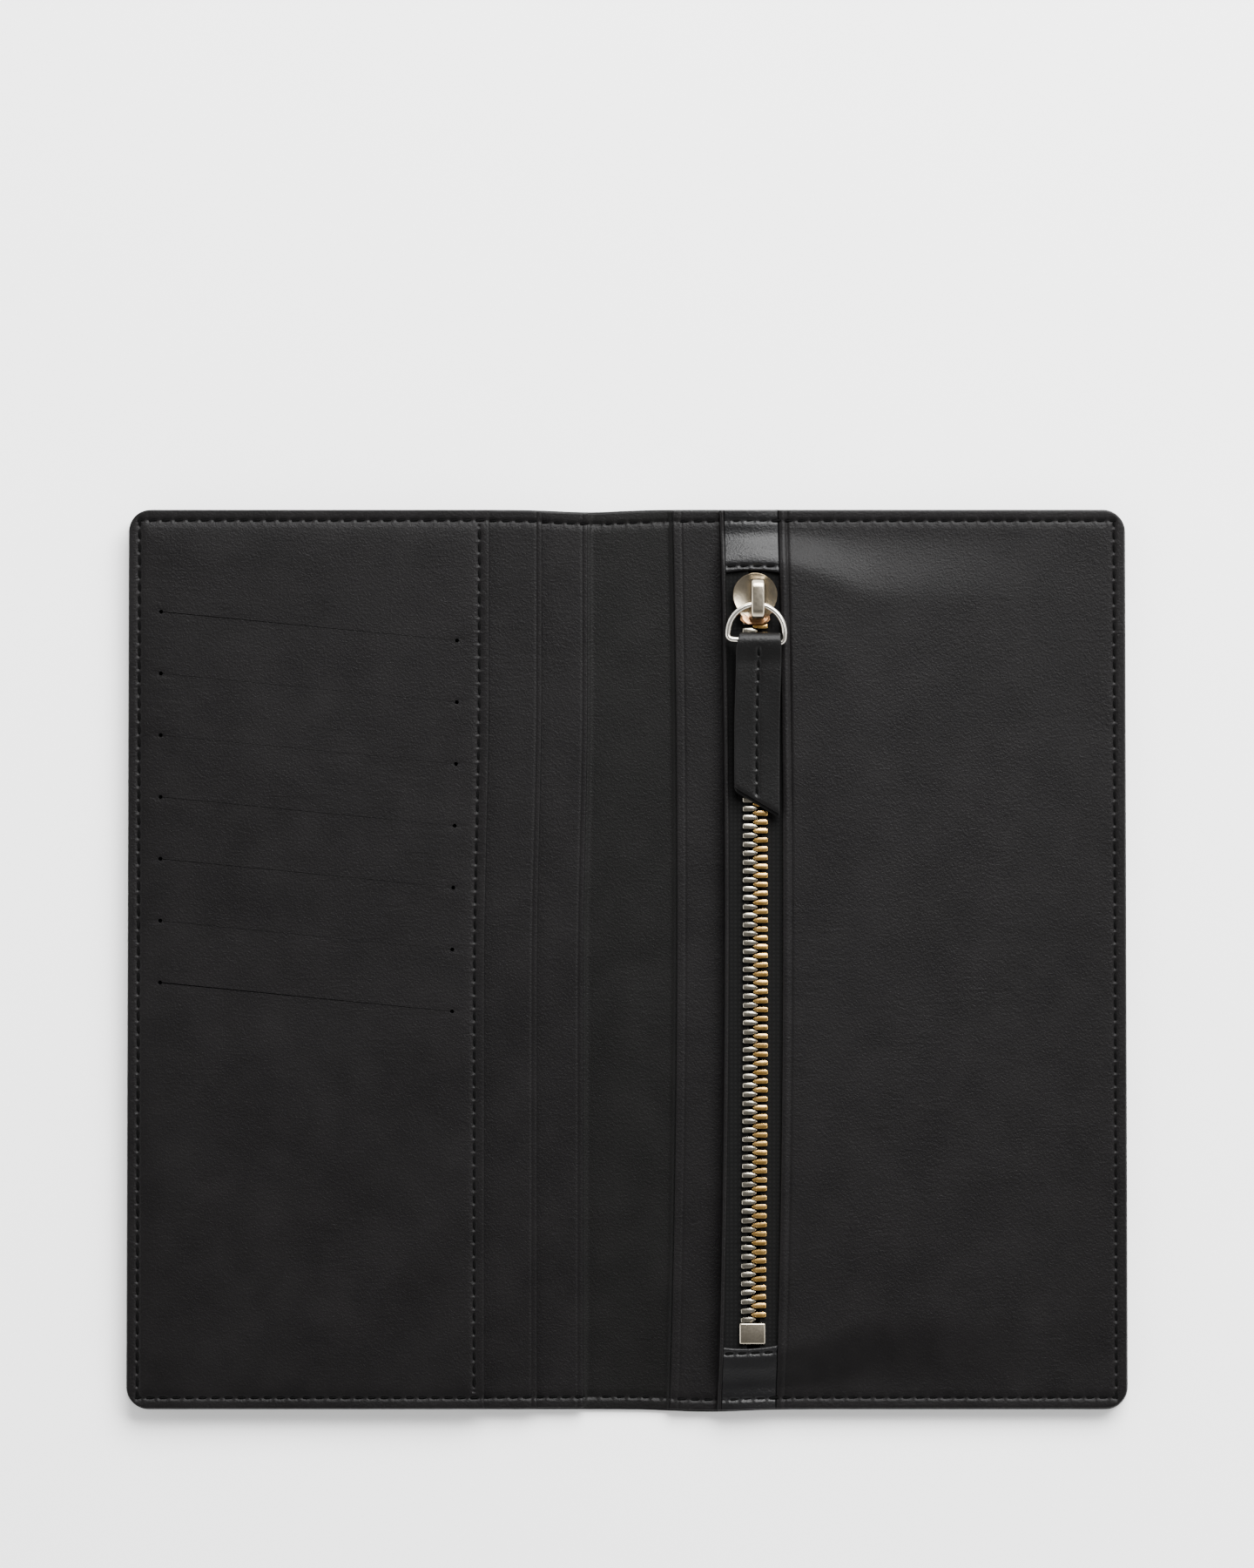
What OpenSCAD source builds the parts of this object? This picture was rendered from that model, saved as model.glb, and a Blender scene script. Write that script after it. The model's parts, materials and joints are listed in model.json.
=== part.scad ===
// Long bifold wallet, lying open with its inside up.
// X runs across both leaves, Y along the spine, Z up from the table.
// The origin is on the table under the middle of the spine.

/* [Open wallet] */
// Width of the open wallet across both leaves and the spine
open_w = 200; // [196:1:240]
// Height of the wallet along the spine
wallet_h = 180; // [170:1:216]
// Radius of the four outer corners
corner_r = 4.5; // [3.5:0.5:8]
// Distance between the two fold lines of the spine
fold_w = 14; // [13.5:0.5:17]

/* [Leather and linings] */
// Thickness of the outer cover leather
cover_t = 1; // [0.8:0.1:1.6]
// Thickness of the stiffening board inside each leaf
board_t = 0.4; // [0.3:0.1:0.8]
// Thickness of the lining leather glued inside the cover
lining_t = 0.4; // [0.3:0.1:0.6]
// Thickness of the pocket panel leather
panel_t = 0.8; // [0.6:0.1:1]
// Slack between a pocket panel and what lies under it
pocket_gap = 0.2; // [0.1:0.1:0.4]
// How far the pocket panels stop short of the cover's edge
panel_inset = 0.4; // [0.2:0.1:0.8]
// Width of the glued and sewn border of a pocket panel
seam_allowance = 4; // [3.5:0.5:5]

/* [Left leaf] */
// Distance from the fold line to the back pocket's mouth
back_mouth_gap = 1.3; // [1.2:0.1:3]
// Distance from the back pocket's mouth to the middle pocket's mouth
middle_step = 9.2; // [6:0.1:11]
// Distance from the middle pocket's mouth to the card panel's inner edge
card_step = 10.5; // [6:0.1:10.9]
// Number of card slots
card_slots = 7; // [3:1:7]
// Distance between two card slots
slot_pitch = 12.35; // [10:0.05:12.5]
// Length of a card slot between its two end holes
slot_len = 59; // [56:1:60]
// Width of a card slot
slot_w = 0.3; // [0.2:0.05:0.6]
// Radius of the hole at each end of a card slot
slot_hole_r = 0.5; // [0.4:0.05:0.8]
// Fall of a card slot towards the spine, in degrees
slot_tilt = 5.6; // [0:0.1:8]
// Distance of the first slot's middle from the leaf's top edge
first_slot_y = 23.6; // [20:0.1:28]
// Depth of the fabric card pocket below its slot
card_depth = 76; // [60:1:76]
// Thickness of the card pocket fabric
card_fabric_t = 0.12; // [0.1:0.01:0.15]

/* [Right leaf] */
// Distance from the fold line to the note pocket's mouth
note_mouth_gap = 2.3; // [1.2:0.1:4]
// Distance from the note pocket's mouth to the zip pocket's near side
zip_step = 9.3; // [6:0.1:12]
// Width of the leather wall along the zip
zip_wall_t = 0.9; // [0.8:0.1:1.2]
// Room between the slider and the leather on its spine side
slider_near_gap = 1.7; // [0.3:0.1:3]
// Room between the slider and the leather on its other side
slider_far_gap = 0.4; // [0.3:0.1:2]
// Length of each leather tab that covers a zip end
end_tab_l = 12.7; // [10:0.1:16]
// Width over which the zip pocket thins towards the leaf's outer edge
side_slope_w = 45; // [10:1:50]
// Thickness of the zip pocket's back leather
zip_back_t = 0.5; // [0.4:0.1:0.8]
// Thickness of the zip pocket's fabric bag
bag_t = 0.15; // [0.1:0.05:0.2]

/* [Zip] */
// Distance between two teeth of one side
tooth_pitch = 1.78; // [1.7:0.02:2.1]
// Width of the closed chain
chain_w = 5; // [4.6:0.1:6]
// Height of a tooth across the tape
tooth_h = 1.9; // [1.7:0.1:2.3]
// Thickness of the zip tape
tape_t = 0.5; // [0.4:0.05:0.6]
// Width of the half of the tape that is sewn under the front leather
tape_w = 10.4; // [8:0.2:12]
// Length of the bottom stop
stop_l = 4.2; // [3.5:0.1:5]

/* [Slider and pull] */
// Radius of the slider's round plates
slider_r = 4.4; // [4.2:0.1:5.3]
// Thickness of a slider plate
plate_t = 0.8; // [0.6:0.1:0.9]
// Length of the slider
slider_l = 10.2; // [9.8:0.1:12.2]
// Width of the bridge over the slider
bridge_w = 2.6; // [2:0.1:3]
// Diameter of the pull ring's wire
wire_d = 1.1; // [0.9:0.1:1.2]
// Length of the bridge over the slider
bridge_l = 8.2; // [7:0.1:8.4]
// Height of the pull ring's wire above the slider's plate
ring_lift = 0.9; // [0.8:0.1:1.5]
// Width of the leather pull strap
strap_w = 9.1; // [7:0.1:11]
// Length of the pull strap from its fold to its tip
strap_l = 36.6; // [30:0.1:45]
// Thickness of one layer of the pull strap
strap_t = 0.9; // [0.7:0.1:1]
// Rise of the slanted cut at the strap's end
strap_slant = 4.9; // [2:0.1:7]

/* [Sewing] */
// Distance of the seam from the cover's edge
seam_in = 2.5; // [2:0.1:3.5]
// Length from one stitch to the next
stitch_pitch = 2.6; // [2:0.1:4]
// Thickness of the thread
thread_d = 0.45; // [0.3:0.05:0.6]

/* [Hidden] */
$fn = 48;

// Colours
leather_black = [0.09, 0.09, 0.09];
fabric_black = [0.12, 0.12, 0.13];
board_grey = [0.45, 0.42, 0.38];
thread_black = [0.05, 0.05, 0.05];
nickel = [0.72, 0.70, 0.65];
brass = [0.85, 0.68, 0.38];

// Small distances shared by the pieces
fold_gap = 0.3;             // between the solids on either side of a fold line
overcut = 1;                // how far a cutting shape runs past what it cuts
thread_h = thread_d / 2;    // a stitch is half sunk in the leather
running = 0.05;             // clearance around a pin
sliding = 0.1;              // clearance around a sliding piece

// Half sizes of the open wallet
half_w = open_w / 2;
half_h = wallet_h / 2;
fold_x = fold_w / 2;

// Places of the pocket mouths, measured from the middle of the spine
back_mouth_x = fold_x + back_mouth_gap;
middle_mouth_x = back_mouth_x + middle_step;
card_edge_x = middle_mouth_x + card_step;
note_mouth_x = fold_x + note_mouth_gap;
zip_pocket_x = note_mouth_x + zip_step;

// Heights of the layers above the table
board_z = cover_t;
leaf_lining_z = board_z + board_t;
inside_z = leaf_lining_z + lining_t;
spine_lining_z = cover_t;
spine_z = spine_lining_z + lining_t;
pocket_rise = pocket_gap + panel_t;
back_z = inside_z + pocket_rise;
middle_z = back_z + pocket_rise;
card_hollow = card_slots * card_fabric_t;
card_z = middle_z + card_hollow + panel_t;
note_z = inside_z + pocket_rise;
zip_back_z = note_z + zip_back_t;
bag_z = zip_back_z + bag_t;

// Heights of the zip and its slider
lower_plate_z = bag_z + running;
chain_z = lower_plate_z + plate_t + sliding + tooth_h / 2;
tape_z = chain_z - tape_t / 2;
roof_z = tape_z + tape_t;
upper_plate_z = chain_z + tooth_h / 2 + sliding;
plate_top_z = upper_plate_z + plate_t;
ring_z = plate_top_z + ring_lift + wire_d / 2;
ring_headroom = 0.25;       // between the wire and the bridge above it
bridge_gap_z = ring_z + wire_d / 2 + ring_headroom;
bridge_t = 0.7;

// Width of the slope between the zip pocket's flat top and its sewn border.
// It starts where the end tabs start, so the tape lies flat along the whole gap.
roof_slope_w = end_tab_l - seam_allowance;

// The zip's run along Y
gap_left_x = zip_pocket_x + zip_wall_t;
gap_right_x = gap_left_x + slider_near_gap + 2 * slider_r + slider_far_gap;
zip_x = gap_right_x - slider_far_gap - slider_r;
gap_half_l = half_h - panel_inset - end_tab_l;
seam_flat_y = half_h - panel_inset - seam_allowance;
tape_half_l = seam_flat_y - tape_t * roof_slope_w / (roof_z - zip_back_z);
slider_top_y = gap_half_l - sliding;
slider_low_y = slider_top_y - slider_l;
disc_y = slider_top_y - slider_r;
post_l = 2;
post_w = 1.6;
post_setback = 0.6;         // of the post from the slider's front
post_y = slider_top_y - post_setback - post_l / 2;
stop_top_y = -gap_half_l + sliding + stop_l;
chain_top_y = post_y - post_l / 2 - tooth_pitch / 2;
tooth_y0 = stop_top_y + tooth_pitch / 2;
teeth = floor((chain_top_y - tooth_y0) / tooth_pitch);

// Tooth outline
bite = 0.4;                 // how far a tooth reaches past the chain's middle
tooth_share = 0.54;         // of the pitch that a tooth's body fills
head_share = 0.44;          // of the pitch that its head fills
tooth_l = tooth_pitch * tooth_share;
head_l = tooth_pitch * head_share;
tape_grip = 1.2;            // depth of the slot that grips the tape
tape_in_x = chain_w / 2 - tape_grip;
flange_t = 0.5;
flange_x = chain_w / 2 + sliding;
tail_w = 2 * (flange_x + flange_t);

// Pull ring and strap. The ring is long enough for the strap to be turned over
// the slider and lie flat beyond it.
bridge_setback = 1.2;       // of the bridge from the slider's front
foot_l = 1.4;
ring_play = 0.9;            // between the wire and the bridge's foot
ring_bend_r = 1;
ring_side_gap = 0.1;        // between the strap and the ring's bends
turn_gap = 0.45;            // between the turned strap and the bridge
bridge_top_y = slider_top_y - bridge_setback;
bridge_low_y = bridge_top_y - bridge_l;
ring_r = strap_w / 2 + ring_side_gap + ring_bend_r;
ring_y = bridge_low_y + foot_l + wire_d / 2 + ring_play;
strap_bore_r = wire_d / 2 + running;
strap_r = strap_bore_r + strap_t;
bar_y = ring_y - (bridge_top_y - ring_y + strap_r + turn_gap);
strap_tip_y = bar_y + strap_r - strap_l;

// Sewing
stitch_share = 0.72;        // of the pitch that a stitch covers
stitch_l = stitch_pitch * stitch_share;
groove_room = 0.2;          // on either side of the thread in its groove
groove_w = thread_d + 2 * groove_room;
card_seam_in = 2;           // from the card panel's inner edge to its seam
card_seam_x = card_edge_x + card_seam_in;
tab_seam_in = 1.4;          // from a tab's free edge to its seam
tab_seam_y = gap_half_l + tab_seam_in;
strap_seam_start = 6.5;     // from the strap's fold to its row of stitches
strap_seam_end = 5.5;       // from the row of stitches to the strap's tip

// ---- Shapes shared by the pieces ----

// Outline of one leaf from inner_x to its outer edge, with rounded outer corners
module leaf_outline(inner_x, inset) {
    r = corner_r - inset;
    w = half_w - inset;
    h = half_h - inset;
    translate([inner_x, -h]) square([w - r - inner_x, 2 * h]);
    translate([inner_x, -h + r]) square([w - inner_x, 2 * (h - r)]);
    for (side = [-1, 1])
        translate([w - r, side * (h - r)]) circle(r);
}

// A flat layer of the right leaf; the left leaf mirrors it
module leaf_layer(inner_x, inset, z, t) {
    translate([0, 0, z])
        linear_extrude(height = t) leaf_outline(inner_x, inset);
}

// A pocket panel whose underside is hollow inside its sewn border.
// mouth is the width of border left at the inner edge, 0 where the pocket opens.
module pocket_panel(mouth_x, z, hollow, mouth = 0) {
    difference() {
        leaf_layer(mouth_x, panel_inset, z, hollow + panel_t);
        translate([0, 0, z - overcut])
            linear_extrude(height = hollow + overcut)
                pocket_hollow(mouth > 0 ? mouth_x + mouth : mouth_x - overcut);
    }
}

module pocket_hollow(inner_x) {
    reach = panel_inset + seam_allowance;
    translate([inner_x, -(half_h - reach)])
        square([half_w - reach - inner_x, 2 * (half_h - reach)]);
}

module mirror_to_left() {
    mirror([1, 0, 0]) children();
}

// Groove in the cover's outer face in which the seam lies
module seam_groove(inner_x) {
    near = seam_in - groove_w / 2;
    far = seam_in + groove_w / 2;
    translate([0, 0, -overcut])
        linear_extrude(height = thread_h + overcut)
            difference() {
                leaf_outline(inner_x - overcut, near);
                leaf_outline(inner_x - 2 * overcut, far);
            }
}

// Cover of the right leaf; the left leaf mirrors it
module leaf_cover() {
    difference() {
        leaf_layer(fold_x + fold_gap / 2, 0, 0, cover_t);
        seam_groove(fold_x);
    }
}

// Lining of one leaf, stepping down from the board to the spine
module leaf_lining(step_x) {
    step_w = board_t * 2;
    edge_x = fold_x + fold_gap / 2;
    drop = leaf_lining_z - spine_lining_z;
    difference() {
        leaf_layer(edge_x, panel_inset, spine_lining_z, drop + lining_t);
        leaf_cut([[edge_x - overcut, spine_z], [step_x - step_w, spine_z],
                  [step_x, inside_z], [step_x, inside_z + overcut],
                  [edge_x - overcut, inside_z + overcut]]);
        leaf_cut([[step_x - step_w, spine_lining_z - overcut],
                  [step_x - step_w, spine_lining_z], [step_x, leaf_lining_z],
                  [half_w + overcut, leaf_lining_z],
                  [half_w + overcut, spine_lining_z - overcut]]);
    }
}

// A cutting shape with the given outline in X and Z, running along Y
module leaf_cut(outline) {
    translate([0, half_h + overcut, 0])
        rotate([90, 0, 0])
            linear_extrude(height = 2 * (half_h + overcut)) polygon(outline);
}

// Outline in Y and Z of what lies over the zip pocket: flat along the zip, and
// sloping down to the sewn border at both ends
module roof_profile(under, over, half_l) {
    drop = roof_z - zip_back_z;
    y1 = seam_flat_y - roof_slope_w;
    z1 = roof_z;
    y2 = min(seam_flat_y, half_l);
    z2 = roof_z - drop * (y2 - y1) / roof_slope_w;
    top = [[half_l, z2 + over], [y2, z2 + over], [y1, z1 + over]];
    low = [[y1, z1 - under], [y2, z2 - under], [half_l, z2 - under]];
    polygon(concat(
        top, [for (p = [2, 1, 0]) [-top[p][0], top[p][1]]],
        [for (p = [2, 1, 0]) [-low[p][0], low[p][1]]], low));
}

// The same outline run along X from x1 to x2
module roof_strip(x1, x2, under, over, half_l) {
    translate([x1, 0, 0])
        rotate([90, 0, 90])
            linear_extrude(height = x2 - x1) roof_profile(under, over, half_l);
}

// One stitch lying on height z, turned by angle
module stitch(x, y, z, angle) {
    translate([x, y, z + thread_h / 2])
        rotate([0, 0, angle]) cube([stitch_l, thread_d, thread_h], center = true);
}

// A row of evenly spaced stitches between two points at height z
module stitch_row(from, to, z) {
    run = to - from;
    count = max(1, floor(norm(run) / stitch_pitch));
    angle = atan2(run[1], run[0]);
    for (i = [0 : count - 1]) {
        at = from + run * (i + 0.5) / count;
        stitch(at[0], at[1], z, angle);
    }
}

// The same row at the top and at the bottom edge
module edge_rows(x1, x2, z) {
    for (side = [-1, 1])
        stitch_row([x1, side * (half_h - seam_in)], [x2, side * (half_h - seam_in)], z);
}

// ---- Left leaf ----

module outer_cover_left() {
    color(leather_black) mirror_to_left() leaf_cover();
}

module stiffener_left() {
    color(board_grey)
        mirror_to_left()
            leaf_layer(back_mouth_x + panel_inset, seam_in + groove_w, board_z, board_t);
}

module lining_left() {
    color(leather_black) mirror_to_left() leaf_lining(back_mouth_x);
}

module long_pocket_back() {
    color(leather_black)
        mirror_to_left() pocket_panel(back_mouth_x, inside_z, pocket_gap);
}

module long_pocket_middle() {
    color(leather_black)
        mirror_to_left() pocket_panel(middle_mouth_x, back_z, pocket_gap);
}

// Middle of card slot i, counted from the top
function slot_x() = -(half_w - panel_inset - seam_allowance / 2 + card_seam_x) / 2;
function slot_y(i) = half_h - first_slot_y - i * slot_pitch;

module card_slot_cut(i) {
    translate([slot_x(), slot_y(i), middle_z]) rotate([0, 0, -slot_tilt]) {
        translate([-slot_len / 2, -slot_w / 2, -overcut])
            cube([slot_len, slot_w, card_hollow + panel_t + 2 * overcut]);
        for (side = [-1, 1])
            translate([side * slot_len / 2, 0, -overcut])
                cylinder(h = card_hollow + panel_t + 2 * overcut, r = slot_hole_r);
    }
}

module card_panel() {
    color(leather_black) difference() {
        mirror_to_left() pocket_panel(card_edge_x, middle_z, card_hollow, seam_allowance);
        for (i = [0 : card_slots - 1]) card_slot_cut(i);
    }
}

// Fabric pocket behind card slot i; a lower slot's pocket lies over the higher ones
module card_pocket(i) {
    left_x = -(half_w - panel_inset - seam_allowance);
    right_x = -(card_edge_x + seam_allowance);
    fall = tan(slot_tilt);
    y = slot_y(i) - slot_hole_r;
    color(fabric_black)
        translate([0, 0, middle_z + i * card_fabric_t])
            linear_extrude(height = card_fabric_t)
                polygon([[left_x, y + fall * (slot_x() - left_x)],
                         [right_x, y - fall * (right_x - slot_x())],
                         [right_x, y - card_depth], [left_x, y - card_depth]]);
}

module stitching_left_leaf() {
    seam_x = half_w - seam_in;
    inner_end = fold_x + stitch_pitch / 2;
    color(thread_black) mirror_to_left() {
        edge_rows(seam_x, card_edge_x, card_z);
        edge_rows(card_edge_x, middle_mouth_x, middle_z);
        edge_rows(middle_mouth_x, back_mouth_x, back_z);
        stitch_row([seam_x, corner_r - half_h], [seam_x, half_h - corner_r], card_z);
        edge_rows(half_w - corner_r, inner_end, 0);
        stitch_row([seam_x, corner_r - half_h], [seam_x, half_h - corner_r], 0);
    }
}

module stitching_card_panel() {
    end_y = half_h - seam_in - stitch_pitch;
    color(thread_black)
        stitch_row([-card_seam_x, -end_y], [-card_seam_x, end_y], card_z);
}

// ---- Spine ----

module outer_cover_spine() {
    half = fold_x - fold_gap / 2;
    color(leather_black) difference() {
        translate([-half, -half_h, 0]) cube([2 * half, wallet_h, cover_t]);
        for (side = [-1, 1])
            translate([-half - overcut, side * (half_h - seam_in) - groove_w / 2, -overcut])
                cube([2 * (half + overcut), groove_w, thread_h + overcut]);
    }
}

module lining_spine() {
    half = fold_x - fold_gap / 2;
    color(leather_black)
        translate([-half, -half_h + panel_inset, spine_lining_z])
            cube([2 * half, wallet_h - 2 * panel_inset, lining_t]);
}

module stitching_spine() {
    end_x = fold_x - stitch_pitch / 2;
    color(thread_black) {
        edge_rows(-end_x, end_x, spine_z);
        edge_rows(-end_x, end_x, 0);
    }
}

// ---- Right leaf ----

module outer_cover_right() {
    color(leather_black) leaf_cover();
}

module stiffener_right() {
    color(board_grey)
        leaf_layer(note_mouth_x + panel_inset, seam_in + groove_w, board_z, board_t);
}

module lining_right() {
    color(leather_black) leaf_lining(note_mouth_x);
}

module note_pocket_right() {
    color(leather_black) pocket_panel(note_mouth_x, inside_z, pocket_gap);
}

module zip_pocket_back() {
    color(leather_black) leaf_layer(gap_left_x, panel_inset, note_z, zip_back_t);
}

// Fabric bag of the zip pocket: one sheet folded at the far side, its upper half
// lying along the underside of the front leather
module zip_pocket_bag() {
    bend_x = half_w - panel_inset - seam_allowance - side_slope_w;
    fall = (roof_z - zip_back_z) / side_slope_w;
    far_x = bend_x + (tape_z - bag_z - 2 * bag_t) / fall;
    half_l = seam_flat_y - roof_slope_w - bag_t;
    color(fabric_black)
        translate([0, half_l, 0]) rotate([90, 0, 0])
            linear_extrude(height = 2 * half_l)
                polygon([[gap_left_x + bag_t, zip_back_z], [far_x, zip_back_z],
                         [far_x, bag_z + 2 * bag_t], [bend_x, tape_z], [gap_right_x, tape_z],
                         [gap_right_x, tape_z - bag_t], [bend_x, tape_z - bag_t],
                         [far_x - bag_t, bag_z + bag_t], [far_x - bag_t, bag_z],
                         [gap_left_x + bag_t, bag_z]]);
}

// Leather wall along the zip's spine side, turned over the tape's edge
module zip_side_wall() {
    color(leather_black)
        intersection() {
            roof_strip(zip_pocket_x, gap_left_x, roof_z, panel_t, half_h - panel_inset);
            translate([0, -half_h, note_z]) cube([half_w, wallet_h, roof_z + panel_t]);
        }
}

// Roof of the zip pocket, thinning towards the leaf's outer edge too
module zip_roof(under, over, inset) {
    reach = half_w - panel_inset - seam_allowance;
    intersection() {
        roof_strip(gap_right_x - inset, half_w, under, over, half_h - panel_inset - inset);
        leaf_cut([[0, -overcut], [half_w, -overcut], [half_w, zip_back_z + over],
                  [reach, zip_back_z + over], [reach - side_slope_w, roof_z + over],
                  [0, roof_z + over]]);
    }
}

module zip_pocket_front() {
    hollow_x = half_w - panel_inset - seam_allowance;
    color(leather_black)
        difference() {
            intersection() {
                zip_roof(roof_z, panel_t, 0);
                leaf_layer(gap_right_x, panel_inset, zip_back_z, roof_z);
            }
            intersection() {
                zip_roof(roof_z, 0, overcut);
                translate([gap_right_x - overcut, -seam_flat_y, zip_back_z - overcut])
                    cube([hollow_x - gap_right_x + overcut, 2 * seam_flat_y, roof_z]);
            }
        }
}

module zip_tape_left() {
    color(fabric_black)
        roof_strip(gap_left_x, zip_x - tape_in_x, tape_t, 0, tape_half_l);
}

module zip_tape_right() {
    color(fabric_black)
        roof_strip(zip_x + tape_in_x, zip_x + tape_in_x + tape_w, tape_t, 0, tape_half_l);
}

// One tooth pointing to +X, its head past the chain's middle
module tooth(y) {
    back = -chain_w / 2;
    shoulder = -bite * 1.2;
    round_off = tooth_l * 0.25;
    translate([0, y, 0]) difference() {
        translate([0, 0, -tooth_h / 2])
            linear_extrude(height = tooth_h)
                polygon([[back + round_off, -tooth_l / 2], [shoulder - round_off, -tooth_l / 2],
                         [shoulder, -head_l / 2], [bite - round_off, -head_l / 2],
                         [bite, -head_l / 4], [bite, head_l / 4],
                         [bite - round_off, head_l / 2], [shoulder, head_l / 2],
                         [shoulder - round_off, tooth_l / 2], [back + round_off, tooth_l / 2],
                         [back, tooth_l / 4], [back, -tooth_l / 4]]);
        translate([back - overcut, -tooth_l, -tape_t / 2])
            cube([tape_grip + overcut, 2 * tooth_l, tape_t]);
    }
}

module zip_teeth_left() {
    color(nickel)
        translate([zip_x, 0, chain_z])
            for (i = [0 : teeth - 1]) tooth(tooth_y0 + i * tooth_pitch);
}

module zip_teeth_right() {
    color(brass)
        translate([zip_x, 0, chain_z]) mirror([1, 0, 0])
            for (i = [0 : teeth - 1]) tooth(tooth_y0 + (i + 0.5) * tooth_pitch);
}

// Metal clip across both tapes, a little wider and taller than the teeth
module zip_bottom_stop() {
    stop_w = chain_w + 2 * sliding;
    stop_h = tooth_h + sliding;
    color(nickel) translate([zip_x, stop_top_y - stop_l / 2, chain_z]) difference() {
        cube([stop_w, stop_l, stop_h], center = true);
        for (side = [-1, 1])
            translate([side * (tape_in_x + stop_w / 2), 0, 0])
                cube([stop_w, stop_l + overcut, tape_t], center = true);
    }
}

// Leather tab over one end of the zip; side is 1 at the top and -1 at the bottom
module zip_end_tab(side) {
    color(leather_black) intersection() {
        roof_strip(gap_left_x, gap_right_x, 0, panel_t, half_h - panel_inset);
        translate([0, side > 0 ? gap_half_l : -half_h, 0])
            cube([half_w, half_h - gap_half_l, roof_z + 2 * panel_t]);
    }
}

module stitching_right_leaf() {
    seam_x = half_w - seam_in;
    seam_z = zip_back_z + panel_t;
    inner_end = fold_x + stitch_pitch / 2;
    color(thread_black) {
        edge_rows(note_mouth_x, zip_pocket_x, note_z);
        edge_rows(gap_left_x, gap_right_x, seam_z);
        edge_rows(gap_right_x, seam_x, seam_z);
        stitch_row([seam_x, corner_r - half_h], [seam_x, half_h - corner_r], seam_z);
        edge_rows(inner_end, half_w - corner_r, 0);
        stitch_row([seam_x, corner_r - half_h], [seam_x, half_h - corner_r], 0);
    }
}

module stitching_zip_tabs() {
    z = roof_z + panel_t;
    color(thread_black)
        for (side = [-1, 1])
            stitch_row([gap_left_x + thread_d, side * tab_seam_y],
                       [gap_right_x - thread_d, side * tab_seam_y], z);
}

// ---- Slider ----

// Outline of a slider plate: a disc with a straight tail
module slider_outline(grow = 0) {
    translate([zip_x, disc_y]) circle(slider_r + grow);
    translate([zip_x - tail_w / 2 - grow, slider_low_y - grow])
        square([tail_w + 2 * grow, disc_y - slider_low_y + grow]);
}

// The rims that guide the teeth, open at the front where the teeth come in
module slider_rims() {
    difference() {
        slider_outline();
        slider_outline(-flange_t);
        translate([zip_x - flange_x, slider_low_y - overcut])
            square([2 * flange_x, slider_l + 2 * overcut]);
        translate([zip_x - slider_r - overcut, disc_y + slider_r / 2])
            square([2 * (slider_r + overcut), slider_r]);
    }
}

module slider_body() {
    rim_h = chain_z - tape_t / 2 - sliding - lower_plate_z;
    color(nickel) {
        translate([0, 0, lower_plate_z]) linear_extrude(height = plate_t) slider_outline();
        translate([0, 0, lower_plate_z]) linear_extrude(height = rim_h) slider_rims();
        translate([0, 0, plate_top_z - rim_h]) linear_extrude(height = rim_h) slider_rims();
        translate([0, 0, upper_plate_z]) linear_extrude(height = plate_t) slider_outline();
        translate([zip_x - post_w / 2, post_y - post_l / 2, lower_plate_z])
            cube([post_w, post_l, plate_top_z - lower_plate_z]);
    }
}

// Bridge that holds the ring: a bar with a rounded back, standing on two feet
module slider_bridge() {
    top_z = bridge_gap_z + bridge_t;
    bend_r = 1.2;
    color(nickel)
        translate([zip_x - bridge_w / 2, 0, 0]) rotate([90, 0, 90])
            linear_extrude(height = bridge_w) difference() {
                union() {
                    translate([bridge_low_y, plate_top_z])
                        square([bridge_l, top_z - bend_r - plate_top_z]);
                    translate([bridge_low_y + bend_r, plate_top_z])
                        square([bridge_l - 2 * bend_r, top_z - plate_top_z]);
                    for (y = [bridge_low_y + bend_r, bridge_top_y - bend_r])
                        translate([y, top_z - bend_r]) circle(bend_r);
                }
                translate([bridge_low_y + foot_l, plate_top_z - overcut])
                    square([bridge_l - 2 * foot_l, bridge_gap_z - plate_top_z + overcut]);
            }
}

// ---- Pull ring and strap ----

// A straight length of the ring's wire
module wire(from, to) {
    run = to - from;
    translate([from[0], from[1], ring_z])
        rotate([0, 0, atan2(run[1], run[0])])
            rotate([0, 90, 0]) cylinder(h = norm(run), d = wire_d);
}

// A bend of the ring's wire about a centre, from angle a through sweep degrees
module wire_bend(centre, r, a, sweep) {
    translate([centre[0], centre[1], ring_z])
        rotate([0, 0, a])
            rotate_extrude(angle = sweep) translate([r, 0]) circle(d = wire_d);
}

module pull_ring() {
    arc_y = ring_y - ring_r;
    bend_y = bar_y + ring_bend_r;
    color(nickel) {
        wire_bend([zip_x, arc_y], ring_r, 0, 180);
        for (side = [-1, 1]) wire([zip_x + side * ring_r, bend_y], [zip_x + side * ring_r, arc_y]);
        wire_bend([zip_x - ring_r + ring_bend_r, bend_y], ring_bend_r, 180, 90);
        wire_bend([zip_x + ring_r - ring_bend_r, bend_y], ring_bend_r, 270, 90);
        wire([zip_x - ring_r + ring_bend_r, bar_y], [zip_x + ring_r - ring_bend_r, bar_y]);
    }
}

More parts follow.
